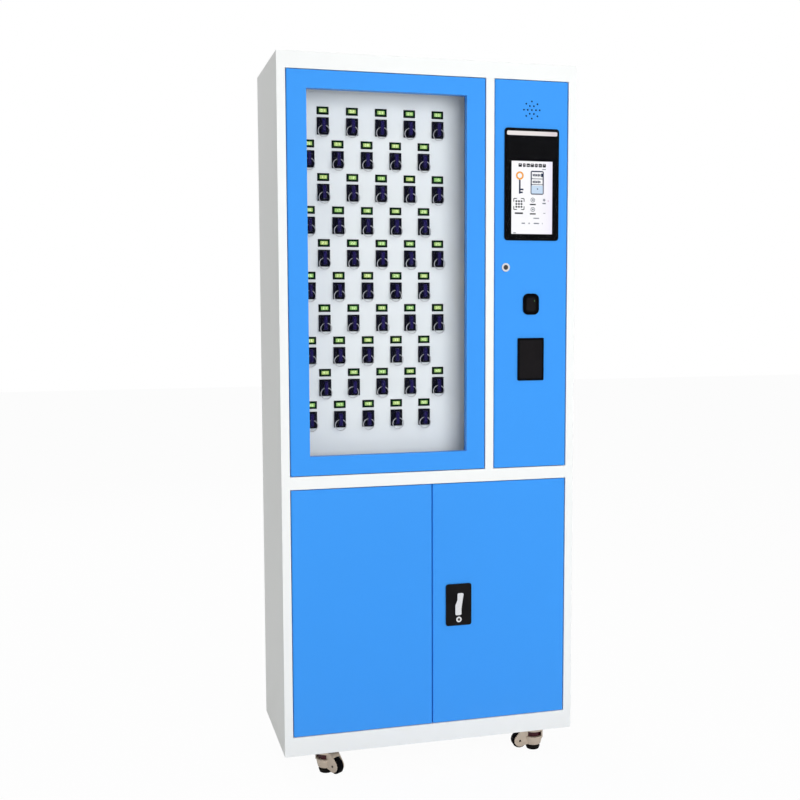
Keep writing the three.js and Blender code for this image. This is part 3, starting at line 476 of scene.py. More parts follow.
# %% [markdown]
# ## Pieces from the CAD frame
#
# The CAD nodes have the right shape, but every edge is knife sharp and their triangles are loose. A
# real sheet or moulding has a small radius that catches the light. So each mesh is copied, its
# triangles are merged, flat neighbours are joined and sharp edges bevelled. The new faces are marked
# for the finishes, and weighted normals keep large faces flat while the bevels shade round. The piece
# then stands for its node.

# %% Softening edges
SHARP_ANGLE = math.radians(50)
MERGE_DISTANCE = 0.002 * MM
FLAT_ANGLE = math.radians(0.4)


def smoothed(mesh):
    mesh.shade_smooth()
    mesh.set_sharp_from_angle(angle=SHARP_ANGLE)
    return mesh


def as_mesh(name, shape, *finishes):
    mesh = bpy.data.meshes.new(name)
    for finish in finishes:
        mesh.materials.append(finish)
    shape.to_mesh(mesh)
    shape.free()
    return mesh


def shaded(name, mesh):
    """A piece whose large faces stay flat under smooth shading, with no modifier left."""
    piece = linked(name, smoothed(mesh))
    weighted = piece.modifiers.new("weighted", "WEIGHTED_NORMAL")
    weighted.keep_sharp = True
    graph = bpy.context.evaluated_depsgraph_get()
    piece.data = bpy.data.meshes.new_from_object(piece.evaluated_get(graph))
    piece.modifiers.clear()
    piece.data.name = piece.name
    return piece


def soften(shape, radius, segments):
    """Bevels sharp edges by a radius in millimetres and marks the new faces in the edge attribute."""
    mark = shape.faces.layers.float.new("edge")
    sharp = [e for e in shape.edges if len(e.link_faces) == 2 and e.calc_face_angle(0.0) > SHARP_ANGLE]
    if radius and sharp:
        made = bmesh.ops.bevel(
            shape, geom=sharp, offset=radius * MM, offset_type="OFFSET", segments=segments, profile=0.5,
            affect="EDGES", clamp_overlap=True,
        )
        for face in made["faces"]:
            face[mark] = 1.0


def give(piece, body):
    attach(piece, body)
    return piece


def merged(node):
    """A bmesh of a CAD node with its loose triangles merged and its flat faces joined."""
    shape = bmesh.new()
    shape.from_mesh(nodes[node].data)
    bmesh.ops.remove_doubles(shape, verts=shape.verts, dist=MERGE_DISTANCE)
    bmesh.ops.dissolve_limit(shape, angle_limit=FLAT_ANGLE, verts=shape.verts, edges=shape.edges)
    return shape


def edged(node, radius, *finishes, segments=2, choose=None):
    """A softened copy of a CAD node that stands for it. choose gives a face's finish from its centre."""
    shape = merged(node)
    soften(shape, radius, segments)
    for face in shape.faces:
        face.material_index = choose(face.calc_center_median()) if choose else 0
    name = node + "_edged"
    piece = shaded(name, as_mesh(name, shape, *finishes or [finish_of[slot_of[node]]]))
    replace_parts(give(piece, nodes[node]["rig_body"]), node)


slot_of = {name: node.active_material.name for name, node in nodes.items()}
print("slots used:", sorted(set(slot_of.values())))

# %% [markdown]
# ### The steel carcass and doors
#
# Each sheet part keeps its slot from the CAD record and takes that slot's finish. The fold of a
# powder-coated edge has a radius of about half a millimetre. The perforated key panel keeps its CAD
# mesh, because its edges hide behind the sockets.

# %% Carcass and doors
finish_of = {
    "white_paint": white_paint, "grey_paint": grey_paint, "blue_paint": blue_paint,
    "black_plastic": black_plastic, "gloss_black": gloss_black, "black_rubber": black_rubber,
    "clear_glass": clear_glass, "chrome": chrome, "zinc": zinc, "violet_plastic": violet_plastic,
    "beige_paint": beige_casting, "red_plastic": dark_red_plastic, "circuit_board": circuit_board,
}
FOLD = 0.45
SHEET_PARTS = (
    "front_frame", "left_side_panel", "right_side_panel", "top_panel", "base_box", "back_panel",
    "middle_shelf", "partition", "cupboard_shelf", "glazed_door_frame", "control_door",
    "lower_left_door", "lower_right_door",
)
for node in SHEET_PARTS:
    edged(node, FOLD)
nodes["key_panel"].data.materials[0] = panel_paint
nodes["door_glass"].data.materials[0] = clear_glass
print(len(SHEET_PARTS), "sheet parts with rounded folds")

# %% [markdown]
# ### Fittings, locks and casters
#
# Each moulding, casting and turned part gets a radius of its own, in millimetres. The terminal's
# glass is built anew further on, so it isn't in this list.

# %% Fittings, locks and casters
SMALL_PARTS = {
    "terminal_housing": 0.8, "fingerprint_reader": 0.9, "latch_plate": 1.1,
    "cam_lock_body": 0.5, "cam_lock_plug": 0.25, "latch_key_cylinder": 0.3,
    "door_striker": 0.4, "electric_lock": 0.5, "glass_gasket": 0.3, "power_supply": 0.6,
    "power_inlet": 0.6, "speaker": 0.6, "upper_lock_rod": 0.4, "lower_lock_rod": 0.4,
}
CASTER_PLACES = ("front_left", "front_right", "rear_left", "rear_right")
CASTER_PARTS = {"plate": 0.4, "housing": 0.7, "wheel": 0.9, "foot": 0.8, "thumb_wheel": 0.5}
own_finish = {
    "latch_plate": latch_black, "latch_key_cylinder": dark_steel, "cam_lock_plug": dark_steel,
}
for node, radius in SMALL_PARTS.items():
    edged(node, radius, own_finish.get(node, finish_of[slot_of[node]]))
for place in CASTER_PLACES:
    for part, radius in CASTER_PARTS.items():
        edged(f"caster_{place}_{part}", radius)
print(len(SMALL_PARTS) + len(CASTER_PLACES) * len(CASTER_PARTS), "fittings and caster parts")

# %% [markdown]
# ## Shapes made from an outline
#
# Most of the added details are plates that face the front, or turned parts. A prism from an outline
# in the frontal plane makes the plates, and a lathe that spins a profile about an axis makes the
# rest. Both close their ends, so each piece is made of solid shells. A small helper finds the middle
# of a CAD node's front.

# %% Prisms and turned parts
def rounded_outline(width, height, corner, steps, centre):
    """A rectangle with round corners as (x, z) points."""
    points = []
    for quarter, (side_x, side_z) in enumerate(((1, 1), (-1, 1), (-1, -1), (1, -1))):
        for step in range(steps + 1):
            angle = math.pi / 2 * (quarter + step / steps)
            points.append((
                centre[0] + side_x * (width / 2 - corner) + corner * math.cos(angle),
                centre[1] + side_z * (height / 2 - corner) + corner * math.sin(angle),
            ))
    return points


def prism(outline, front, back, into=None):
    """A solid with that outline, from y = front to y = back, as a bmesh."""
    shape = into or bmesh.new()
    near = [shape.verts.new((x, front, z)) for x, z in outline]
    far = [shape.verts.new((x, back, z)) for x, z in outline]
    faces = [shape.faces.new(near), shape.faces.new(far[::-1])]
    for i in range(len(outline)):
        faces.append(shape.faces.new((near[i], near[i - 1], far[i - 1], far[i])))
    bmesh.ops.recalc_face_normals(shape, faces=faces)
    return shape


def plate(size, corner, steps, centre, front, back, into=None):
    """A plate with round corners. Size and corner are in millimetres, places in metres."""
    outline = rounded_outline(size[0] * MM, size[1] * MM, corner * MM, steps, centre)
    return prism(outline, front, back, into)


def face_middle(node):
    """The middle of a CAD node's front, across and up."""
    low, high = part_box(node)
    return (low.x + high.x) / 2, (low.z + high.z) / 2


def lathe(profile, centre=(0, 0, 0), axis="Y", sides=24):
    """Spins (radius, distance) points in millimetres. A radius of 0 closes the shell there."""
    shape = bmesh.new()
    rings = []
    for radius, along in profile:
        ring = []
        for i in range(sides if radius > 0 else 1):
            angle = 2 * math.pi * i / sides
            u, v = radius * MM * math.cos(angle), radius * MM * math.sin(angle)
            spot = {"Y": (u, along * MM, v), "Z": (u, v, along * MM)}[axis]
            ring.append(shape.verts.new(Vector(centre) + Vector(spot)))
        rings.append(ring)
    faces = []
    for first, second in zip(rings, rings[1:] + rings[:1]):
        for i in range(sides if len(first) + len(second) > 2 else 0):
            corners = [first[i % len(first)], first[(i + 1) % len(first)]]
            corners += [second[(i + 1) % len(second)], second[i % len(second)]]
            faces.append(shape.faces.new(list(dict.fromkeys(corners))))
    bmesh.ops.recalc_face_normals(shape, faces=faces)
    return shape


def item_mesh(name, shape, radius=0.0, segments=2, *finishes):
    """A mesh for a layout to copy."""
    soften(shape, radius, segments)
    return smoothed(as_mesh(name, shape, *finishes))


def shaped(name, shape, finish, body, radius=0.0, segments=2):
    """Turns a bmesh into a finished piece."""
    return give(shaded(name, item_mesh(name, shape, radius, segments, finish)), body)


print("prisms and turned parts can be made")

# %% [markdown]
# ## Layouts in Geometry Nodes
#
# Fifty keys, rings and displays follow one rule: five columns, ten rows, and every second row shifted
# by half a column. Geometry Nodes state it once, with the sizes as named inputs and any item. A
# second tree puts an item on the points of a mesh and reads each point's turn and size, for screws
# and digits that follow no grid. Both end in Realize Instances and Set Material, so that a plain mesh
# leaves the tree.

# %% A tree with named inputs
class Rule(Nodes):
    """A Geometry Nodes tree."""

    def __init__(self, name, **kinds):
        super().__init__(bpy.data.node_groups.new(name, "GeometryNodeTree"))
        interface = self.tree.interface
        interface.new_socket("Geometry", in_out="INPUT", socket_type="NodeSocketGeometry")
        interface.new_socket("Geometry", in_out="OUTPUT", socket_type="NodeSocketGeometry")
        for words, kind in {**kinds, "Material": "Material"}.items():
            interface.new_socket(words.replace("_", " "), in_out="INPUT", socket_type="NodeSocket" + kind)
        self.given = self.add("NodeGroupInput")

    def item(self):
        return self.add("GeometryNodeObjectInfo", {"Object": self.given["Item"]})["Geometry"]

    def chance(self, low, high, seed):
        """A different number for each point."""
        inputs = {2: low, 3: high, "Seed": seed}
        return self.add("FunctionNodeRandomValue", inputs, data_type="FLOAT")[1]

    def turned(self, euler):
        return self.add("FunctionNodeEulerToRotation", {0: euler})[0]

    def end(self, geometry):
        plain = self.add("GeometryNodeRealizeInstances", {0: geometry})[0]
        inputs = {"Geometry": plain, "Material": self.given["Material"]}
        self.add("NodeGroupOutput", {0: self.add("GeometryNodeSetMaterial", inputs)[0]})


def grown(rule, name, base=None, **values):
    """The mesh that a rule makes, with its inputs set by identifier before it is first evaluated."""
    carrier = linked(name, base or bpy.data.meshes.new(name))
    modifier = carrier.modifiers.new("rule", "NODES")
    modifier.node_group = rule.tree
    sockets = {s.name: s.identifier for s in rule.tree.interface.items_tree if s.in_out == "INPUT"}
    item = linked(name + ".item", values["Item"]) if "Item" in values else None
    for words, value in values.items():
        modifier[sockets[words.replace("_", " ")]] = item if words == "Item" else value
    carrier.update_tag()
    graph = bpy.context.evaluated_depsgraph_get()
    mesh = bpy.data.meshes.new_from_object(carrier.evaluated_get(graph))
    bpy.data.objects.remove(carrier)
    if item:
        bpy.data.objects.remove(item)
    return mesh


def laid_out(rule, name, body, slot, base=None, **values):
    """A piece that a rule makes, as a plain mesh on its body."""
    piece = linked(name, grown(rule, name + ".rule", base, **values))
    piece.data.name = name
    print(name, len(piece.data.vertices), "vertices")
    return give(piece, body)


print("rules can be built")

# %% The staggered grid
grid = Rule(
    "staggered grid", Item="Object", Count="Int", Columns="Int", Column_pitch="Float", Row_pitch="Float",
    Stagger="Float", First_place="Vector", Swing="Float", Seed="Int",
    Left_out_1="Int", Left_out_2="Int", Left_out_3="Int",
)
given = grid.given
number = grid.add("GeometryNodeInputIndex")[0]
column = number % given["Columns"]
row = (number / given["Columns"]).floor()
across = column * given["Column pitch"] + (row % 2) * given["Stagger"]
down = 0 - row * given["Row pitch"]
offset = grid.add("ShaderNodeCombineXYZ", {"X": across, "Z": down})[0]
place = grid.add("ShaderNodeVectorMath", {0: offset, 1: given["First place"]}, operation="ADD")[0]
spots = grid.add("GeometryNodePoints", {"Count": given["Count"], "Position": place})[0]
kept = 1.0
for words in ("Left out 1", "Left out 2", "Left out 3"):
    apart = number - given[words]
    kept = kept * (apart * apart > 0.25)
swing = grid.chance(-1.0, 1.0, given["Seed"]) * given["Swing"]
hanging = grid.turned(grid.add("ShaderNodeCombineXYZ", {"Y": swing})[0])
inputs = {"Points": spots, "Selection": kept, "Instance": grid.item(), "Rotation": hanging}
copies = grid.add("GeometryNodeInstanceOnPoints", inputs)[0]
tone = grid.chance(0.0, 1.0, given["Seed"] + 7.0)
inputs = {"Geometry": copies, "Name": "tone", "Value": tone}
grid.end(grid.add("GeometryNodeStoreNamedAttribute", inputs, data_type="FLOAT", domain="INSTANCE")[0])
print("staggered grid:", len(grid.tree.nodes), "nodes")

# %% Items on points
scatter = Rule("items on points", Item="Object")
facing = scatter.add("GeometryNodeInputNamedAttribute", {"Name": "turn"}, data_type="FLOAT_VECTOR")[0]
scale = scatter.add("GeometryNodeInputNamedAttribute", {"Name": "size"}, data_type="FLOAT")[0]
inputs = {
    "Points": scatter.given["Geometry"], "Instance": scatter.item(),
    "Rotation": scatter.turned(facing), "Scale": scale,
}
scatter.end(scatter.add("GeometryNodeInstanceOnPoints", inputs)[0])


def scattered(name, body, slot, item, finish, places):
    """Copies of an item, one for each (point, turn, size)."""
    base = bpy.data.meshes.new(name + ".points")
    base.from_pydata([spot for spot, turn, size in places], [], [])
    turns = base.attributes.new("turn", "FLOAT_VECTOR", "POINT")
    turns.data.foreach_set("vector", [angle for spot, turn, size in places for angle in turn])
    sizes = base.attributes.new("size", "FLOAT", "POINT")
    sizes.data.foreach_set("value", [size for spot, turn, size in places])
    return laid_out(scatter, name, body, slot, base, Item=item, Material=finish)


def unturned(points, size=1.0):
    return [(point, (0, 0, 0), size) for point in points]


print("items on points:", len(scatter.tree.nodes), "nodes")

# %% [markdown]
# ## Key sockets
#
# Each slot has a black display bezel over a navy socket, both standing through the panel from the
# circuit board behind it. The CAD boards hold them as plain blocks. The softened copies get three
# finishes by place: circuit board behind the panel, black for the bezels and navy for the sockets.

# %% Boards, bezels and sockets
COLUMNS, ROWS = 5, 10
SLOTS = COLUMNS * ROWS
COLUMN_PITCH, ROW_PITCH, STAGGER = 77 * MM, 84.4 * MM, -38.5 * MM
DISPLAY_ABOVE_SOCKET = 39.25 * MM
FOB_SLOTS = {"key_fob_1": (2, 2), "key_fob_2": (5, 3), "key_fob_3": (8, 1)}
panel_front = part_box("key_panel")[0].y
fob_x, fob_z = face_middle("key_fob_1")
fob_row, fob_column = FOB_SLOTS["key_fob_1"]
socket_origin = Vector((fob_x - fob_column * COLUMN_PITCH, 0, fob_z + fob_row * ROW_PITCH))


def bezel_or_socket(centre):
    """0 behind the panel, 1 on a display bezel, 2 on a socket."""
    if centre.y > panel_front + 1.0 * MM:
        return 0
    bezel_low, bezel_high = DISPLAY_ABOVE_SOCKET - 15.25 * MM, DISPLAY_ABOVE_SOCKET + 15.75 * MM
    return 1 if bezel_low < (centre.z - socket_origin.z) % ROW_PITCH < bezel_high else 2


BOARD_EDGE, FOB_EDGE = 0.7, 1.1
board_finishes = circuit_board, black_plastic, navy_plastic
for index in range(1, 6):
    edged(f"key_board_{index}", BOARD_EDGE, *board_finishes, choose=bezel_or_socket)
for node in FOB_SLOTS:
    edged(node, FOB_EDGE, violet_plastic, segments=3)
print("first socket at", [round(v, 4) for v in socket_origin], "panel front", round(panel_front, 4))

# %% [markdown]
# ### Lit displays and their numbers
#
# A small backlit window sits in each bezel and shows the slot's number. The windows are one item on
# the staggered grid. The digits are built as real seven-segment displays are: each lit segment is a
# small hexagonal bar, and a table says which segments every digit lights.

# %% Displays
DISPLAY_FRONT = panel_front - 2.5 * MM
display_origin = socket_origin + Vector((0, DISPLAY_FRONT, DISPLAY_ABOVE_SOCKET))
SLOT_GRID = {
    "Count": SLOTS, "Columns": COLUMNS, "Column_pitch": COLUMN_PITCH, "Row_pitch": ROW_PITCH,
    "Stagger": STAGGER,
}


def on_grid(name, slot, item, finish, first_place, seed, swing=0.0, left_out=(-1, -1, -1), **sizes):
    """A piece with an item in every place of the grid but those left out."""
    gaps = {f"Left_out_{i + 1}": number for i, number in enumerate(left_out)}
    laid_out(
        grid, name, "cabinet", slot, Item=item, Material=finish, First_place=first_place,
        Swing=swing, Seed=seed, **(sizes or SLOT_GRID), **gaps,
    )


# The first layer is a dark green plate that paints the display's glow spilling onto the bezel.
DISPLAY_LAYERS = (
    # name, size, corner, front and back, finish
    ("display_surrounds", (25.0, 14.2), 1.2, (-0.2, 0.3), display_surround),
    ("display_windows", (18.8, 8.8), 0.8, (-0.35, -0.1), display_green),
)
for name, size, corner, (front, back), finish in DISPLAY_LAYERS:
    layer = item_mesh(name + "_item", plate(size, corner, 3, (0, 0), front * MM, back * MM), 0.1, 1)
    on_grid(name, "circuit_board", layer, finish, display_origin, 11)

LIT_SEGMENTS = (
    "abcdef", "bc", "abged", "abgcd", "fgbc", "afgcd", "afgedc", "abc", "abcdefg", "abcfgd",
)
DIGIT_HALF_WIDTH, DIGIT_HALF_HEIGHT, DIGIT_SIDE = 1.5 * MM, 2.9 * MM, 3.2 * MM
SEGMENT_PLACES = {
    "a": (0, 1, False), "g": (0, 0, False), "d": (0, -1, False),
    "f": (-1, 0.5, True), "b": (1, 0.5, True), "e": (-1, -0.5, True), "c": (1, -0.5, True),
}
BAR_OUTLINE = ((-1.3, 0), (-1.0, -0.35), (1.0, -0.35), (1.3, 0), (1.0, 0.35), (-1.0, 0.35))
bar = item_mesh("segment", prism([(x * MM, z * MM) for x, z in BAR_OUTLINE], -0.12 * MM, 0.05 * MM))
segments = []
for slot_number in range(SLOTS):
    row, column = divmod(slot_number, COLUMNS)
    across = column * COLUMN_PITCH + (row % 2) * STAGGER
    middle = display_origin + Vector((across, -0.35 * MM, -row * ROW_PITCH))
    for digit, side in zip(divmod(slot_number + 1, 10), (-DIGIT_SIDE, DIGIT_SIDE)):
        for segment in LIT_SEGMENTS[digit]:
            share_x, share_z, upright = SEGMENT_PLACES[segment]
            spot = middle + Vector((side + share_x * DIGIT_HALF_WIDTH, 0, share_z * DIGIT_HALF_HEIGHT))
            segments.append((spot, (0, math.pi / 2 if upright else 0, 0), 1.0))
digit_glow = Finish("digit_glow", Roughness=0.3, Emission_Strength=0.9)
digit_glow.to_shader(
    Base_Color=digit_glow.mix(digit_glow.noise(30.0), srgb(190, 215, 150), srgb(180, 205, 140)),
    Emission_Color=digit_glow.mix(digit_glow.noise(30.0), srgb(244, 250, 214), srgb(232, 246, 196)),
)
scattered("display_digits", "cabinet", "circuit_board", bar, digit_glow.material, segments)
print(len(segments), "lit segments on", SLOTS, "displays")

# %% [markdown]
# ### Fobs and key rings
#
# A violet fob stands in each socket, with a steel ring through the hole in its head. Three fobs are
# CAD bodies that can be pulled, and the other forty-seven are copies on the grid. A split ring is a
# wire wound twice round, so its tree sweeps a round profile along a flat spiral with two turns. The
# rings swing a little, each by its own fixed random angle.

# %% Key fobs
fob_shape = merged("key_fob_1")
bmesh.ops.translate(fob_shape, verts=fob_shape.verts, vec=(-fob_x, 0, -fob_z))
fob_item = item_mesh("fob", fob_shape, FOB_EDGE)
held = [row * COLUMNS + column for row, column in FOB_SLOTS.values()]
on_grid("key_fobs_in_place", "violet_plastic", fob_item, violet_plastic, socket_origin, 3, left_out=held)

# %% Split rings
LAID_TO_UPRIGHT = (math.pi / 2, 0, 0)
split_ring = Rule(
    "split ring", Ring_radius="Float", Wire_radius="Float", Turns="Float", Steps="Int", Sides="Int",
)
given = split_ring.given
inputs = {
    "Resolution": given["Steps"], "Rotations": given["Turns"], "Start Radius": given["Ring radius"],
    "End Radius": given["Ring radius"], "Height": given["Wire radius"] * 2.0 * given["Turns"],
}
coil = split_ring.add("GeometryNodeCurveSpiral", inputs)[0]
inputs = {"Resolution": given["Sides"], "Radius": given["Wire radius"]}
wire = split_ring.add("GeometryNodeCurvePrimitiveCircle", inputs, mode="RADIUS")[0]
inputs = {"Curve": coil, "Profile Curve": wire, "Fill Caps": True}
tube = split_ring.add("GeometryNodeCurveToMesh", inputs)[0]
inputs = {"Geometry": tube, "Rotation": LAID_TO_UPRIGHT}
split_ring.end(split_ring.add("GeometryNodeTransform", inputs)[0])

RING_RADIUS, WIRE_RADIUS = 14.7 * MM, 0.9 * MM
HOLE_BEHIND_NOSE, SLACK_IN_HOLE = 6 * MM, 0.5 * MM
RING_SWING = 0.16  # radians
ring_mesh = grown(
    split_ring, "ring", Ring_radius=RING_RADIUS, Wire_radius=WIRE_RADIUS, Turns=2.0, Steps=26,
    Sides=6, Material=ring_steel,
)
for vertex in ring_mesh.vertices:
    vertex.co += Vector((0, WIRE_RADIUS * 2, SLACK_IN_HOLE - RING_RADIUS))
ring_mesh.shade_smooth()
hole = Vector((0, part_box("key_fob_1")[0].y + HOLE_BEHIND_NOSE, 0))
on_grid("key_rings_in_place", "chrome", ring_mesh, ring_steel, socket_origin + hole, 5, RING_SWING, held)
for node, (row, column) in FOB_SLOTS.items():
    x, z = face_middle(node)
    places = [((x, hole.y, z), (0, 0.05 * row, 0), 1.0)]
    scattered(node + "_ring", node, "chrome", ring_mesh, ring_steel, places)
print("rings of", round(2 * RING_RADIUS / MM, 1), "mm")

# %% [markdown]
# ## The touch terminal
#
# The terminal is a tablet behind one sheet of cover glass: a white lamp bar along the top, a black
# band and a lit screen. The CAD glass is one slab, so it is replaced by the real layers, each a solid
# plate: a black backing, the screen, the picture on it and the clear cover.

# %% Terminal layers
glass_low, glass_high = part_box("terminal_glass")
TERMINAL_X, TERMINAL_Z = face_middle("terminal_glass")
TERMINAL_SIZE = (glass_high.x - glass_low.x) / MM, (glass_high.z - glass_low.z) / MM
TERMINAL_CORNER = 4.7
COVER_FRONT = glass_low.y
COVER_BACK, PICTURE_FRONT, SCREEN_FRONT, BACKING_FRONT = (
    COVER_FRONT + depth * MM for depth in (0.7, 0.8, 0.9, 1.05)
)
LIT_BACK = BACKING_FRONT + 0.1 * MM
SCREEN_WIDTH, SCREEN_HEIGHT = 115, 190
SCREEN_X, SCREEN_Z = TERMINAL_X + 0.5 * MM, TERMINAL_Z - 34 * MM


def terminal_plate(name, size, corner, centre, front, back, finish):
    shape = plate(size, corner, 6, centre, front, back)
    return shaped(name, shape, finish, "control_door", 0.04, 1)


outline = TERMINAL_SIZE, TERMINAL_CORNER, (TERMINAL_X, TERMINAL_Z)
backing = terminal_plate("terminal_backing", *outline, BACKING_FRONT, glass_high.y, gloss_black)
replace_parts(backing, "terminal_glass")
terminal_plate("terminal_cover_glass", *outline, COVER_FRONT, COVER_BACK, cover_glass)
print("terminal", [round(v) for v in TERMINAL_SIZE], "mm in four layers")

# %% [markdown]
# ### What the screen shows
#
# The picture is a plain guide made of flat shapes: a heading of blank blocks, a key, a cabinet with
# its shelves, a scanning frame, and small round icons over caption bars. Nothing on it is a word or a
# mark. Every shape is a thin tile in one mesh, and a colour attribute named ink says what colour a
# tile glows.

# %% Lit finishes
BLACK = (0, 0, 0, 1)


def lit_surface(name, strength):
    return Finish(name, Roughness=0.3, Specular_IOR_Level=0.2, Emission_Strength=strength)


def lit_picture(name, strength):
    lit = lit_surface(name, strength)
    ink = lit.add("ShaderNodeAttribute", attribute_name="ink")["Color"]
    glow = lit.mix(lit.noise(800.0, detail=1.0) * 0.06, ink, BLACK)
    lit.to_shader(Base_Color=lit.mix(0.85, ink, BLACK), Emission_Color=glow)
    return lit.material


def lit_panel(name, left, right, strength):
    """A backlight whose colour drifts from one side of the screen to the other."""
    lit = lit_surface(name, strength)
    x = lit.add("ShaderNodeSeparateXYZ", {0: lit.place})["X"]
    share = ((x - (SCREEN_X - SCREEN_WIDTH * MM / 2)) / (SCREEN_WIDTH * MM)).clamp()
    glow = lit.mix(share ** 5.0 * 0.8 + lit.noise(30.0) * 0.1, left, right)
    lit.to_shader(Base_Color=(0.05, 0.05, 0.05, 1), Emission_Color=glow)
    return lit.material


picture_ink = lit_picture("picture_ink", 0.9)
screen_white = lit_panel("screen_white", srgb(253, 253, 255), srgb(240, 234, 252), 1.0)
lamp_white = lit_panel("lamp_white", srgb(246, 240, 238), srgb(228, 214, 220), 0.92)
outline = (SCREEN_WIDTH, SCREEN_HEIGHT), 0.8, (SCREEN_X, SCREEN_Z)
terminal_plate("terminal_screen", *outline, SCREEN_FRONT, LIT_BACK, screen_white)
outline = (141, 11), 3.5, (SCREEN_X, TERMINAL_Z + 133 * MM)
terminal_plate("terminal_lamp_bar", *outline, SCREEN_FRONT, LIT_BACK, lamp_white)
print("screen", SCREEN_WIDTH, "x", SCREEN_HEIGHT, "mm")

# %% The picture's tiles
NAVY, INK, GREY = srgb(28, 38, 72), srgb(22, 24, 34), srgb(120, 126, 138)
PALE_BLUE, ORANGE, PINK = srgb(204, 224, 246), srgb(244, 164, 62), srgb(214, 176, 206)
PAPER = srgb(253, 253, 255)
LIFT = 0.02 * MM
SCREEN_LEFT, SCREEN_TOP = SCREEN_X - SCREEN_WIDTH * MM / 2, SCREEN_Z + SCREEN_HEIGHT * MM / 2
picture = bmesh.new()
ink_layer = picture.loops.layers.float_color.new("ink")


def tile(x, z, width, height, colour, corner=0.6, lift=0):
    """A tile centred x to the right and z below the screen's top left corner, in millimetres."""
    before = set(picture.faces)
    centre = (SCREEN_LEFT + x * MM, SCREEN_TOP - z * MM)
    corner = min(corner, width / 2.01, height / 2.01)
    plate((width, height), corner, 4, centre, PICTURE_FRONT - lift * LIFT, SCREEN_FRONT + LIFT, picture)
    for face in set(picture.faces) - before:
        for loop in face.loops:
            loop[ink_layer] = colour


def frame_tile(x, z, width, height, line, colour, corner):
    """An outlined tile: a full one with a lighter one in front of it."""
    tile(x, z, width, height, colour, corner)
    tile(x, z, width - 2 * line, height - 2 * line, PAPER, max(corner - line, 0.3), lift=1)


# The heading
for i, width in enumerate((9.5, 7.5, 9.5, 9.5, 8.0, 9.5, 9.0)):
    tile(24 + i * 11.3, 10.8, width, 9, INK, 1.6)
    tile(24 + i * 11.3, 8.6 + 1.4 * (i % 3), width * 0.5, 1.2, PAPER, 0.3, lift=1)

# The key
frame_tile(23, 38, 22, 22, 4.6, ORANGE, 11)
tile(23, 67, 4.6, 36, NAVY, 1.0)
tile(29, 74, 9, 4.2, NAVY, 0.8)
tile(28, 81.5, 7, 4.2, NAVY, 0.8)

# The cabinet
frame_tile(72, 55.7, 37, 62, 3.2, NAVY, 4.5)
for z in (45.5, 60.5):
    tile(72, z, 32, 1.7, NAVY, 0.2, lift=2)
for z in (36, 53.5):
    for i in range(5):
        tile(61 + i * 4.6, z, 3.4, 5.4 + 1.2 * (i % 2), NAVY, 0.8, lift=2)
tile(85, 36, 5, 9, NAVY, 0.8, lift=2)
tile(72, 73.5, 32, 21, PALE_BLUE, 0.4, lift=2)
tile(73, 72, 3.6, 3.6, NAVY, 1.8, lift=3)

# The scanning frame
SCAN_X, SCAN_Z = 21, 112
frame_tile(SCAN_X, SCAN_Z, 31, 31, 2.2, INK, 3)
for size in ((12, 36), (36, 12)):
    tile(SCAN_X, SCAN_Z, *size, PAPER, 0.3, lift=2)
for step_x in (-1, 0, 1):
    for step_z in (-1, 0, 1):
        tile(SCAN_X + step_x * 7.2, SCAN_Z + step_z * 7.2, 4.8, 4.8, INK, 1.0, lift=3)
tile(SCAN_X, 136, 23, 4.2, INK, 1.2)

# The round icons over their captions
for x, z, size, caption in ((60, 101, 12.5, INK), (60, 125.5, 12.5, INK), (92, 100.5, 7, GREY)):
    frame_tile(x, z, size, size, 1.7, GREY, size / 2)
    tile(x, z, size * 0.35, size * 0.35, GREY, 0.6, lift=2)
    tile(x, z + size * 0.5 + 5.4, size * 1.35, 3.4, caption, 1.0)
tile(103.5, 102.5, 3.2, 3.2, PINK, 1.6)

# Grey bars: x, z, width and height
for bar in ((91, 20.8, 10, 2), (93, 135, 6, 1.6)):
    tile(*bar, GREY, 0.6)
for bar in (
    (70, 148.5, 16, 2.6), (33.5, 162, 9.5, 3), (50, 162, 4, 3), (70.5, 162, 15, 3), (87.5, 162, 1.6, 3),
    (9, 187.5, 8, 2.4),
):
    tile(*bar, GREY, 0.8)
print("picture of", len(picture.faces), "faces")
shaped("terminal_picture", picture, picture_ink, "control_door")

# %% [markdown]
# ## Readers, speaker and latch
#
# The fingerprint reader has a smooth dark window in its recess and a small status light. The card
# reader is a smoked cover with a raised field where the card is held. A woven cloth backs the speaker
# holes. The latch gets the collar round its key cylinder and the relief on its lever, which their
# plain CAD shapes leave out.

# %% Readers
green_glow = Finish("green_glow", Roughness=0.3, Emission_Strength=0.5)
green_glow.to_shader(
    Base_Color=(0.02, 0.05, 0.02, 1),
    Emission_Color=green_glow.mix(green_glow.noise(900.0), srgb(44, 108, 40), srgb(96, 160, 70)),
)
lamp_green = green_glow.material
READER_DETAILS = (
    # name, node, finish, place on it, size, corner, corner steps, front and back, edge, edge steps
    ("finger_window", "fingerprint_reader", smoked_plastic, (0, 0), (24, 34), 5, 6, (0.6, 1.8), 0.5, 3),
    ("finger_light", "fingerprint_reader", lamp_green, (9.5, 9), (1.2, 5), 0.58, 4, (0.45, 0.8), 0, 1),
    ("card_window", "card_reader", smoked_plastic, (0, 0), (63, 101), 2.5, 5, (-0.5, 0.5), 0.4, 2),
)
edged("card_reader", 0.6, gloss_black)
for name, node, finish, (x, z), size, corner, steps, (front, back), edge, segments in READER_DETAILS:
    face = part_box(node)[0].y
    node_x, node_z = face_middle(node)
    spot = (node_x + x * MM, node_z + z * MM)
    detail = plate(size, corner, steps, spot, face + front * MM, face + back * MM)
    shaped(name, detail, finish, "control_door", edge, segments)
print(len(READER_DETAILS), "details on the readers")

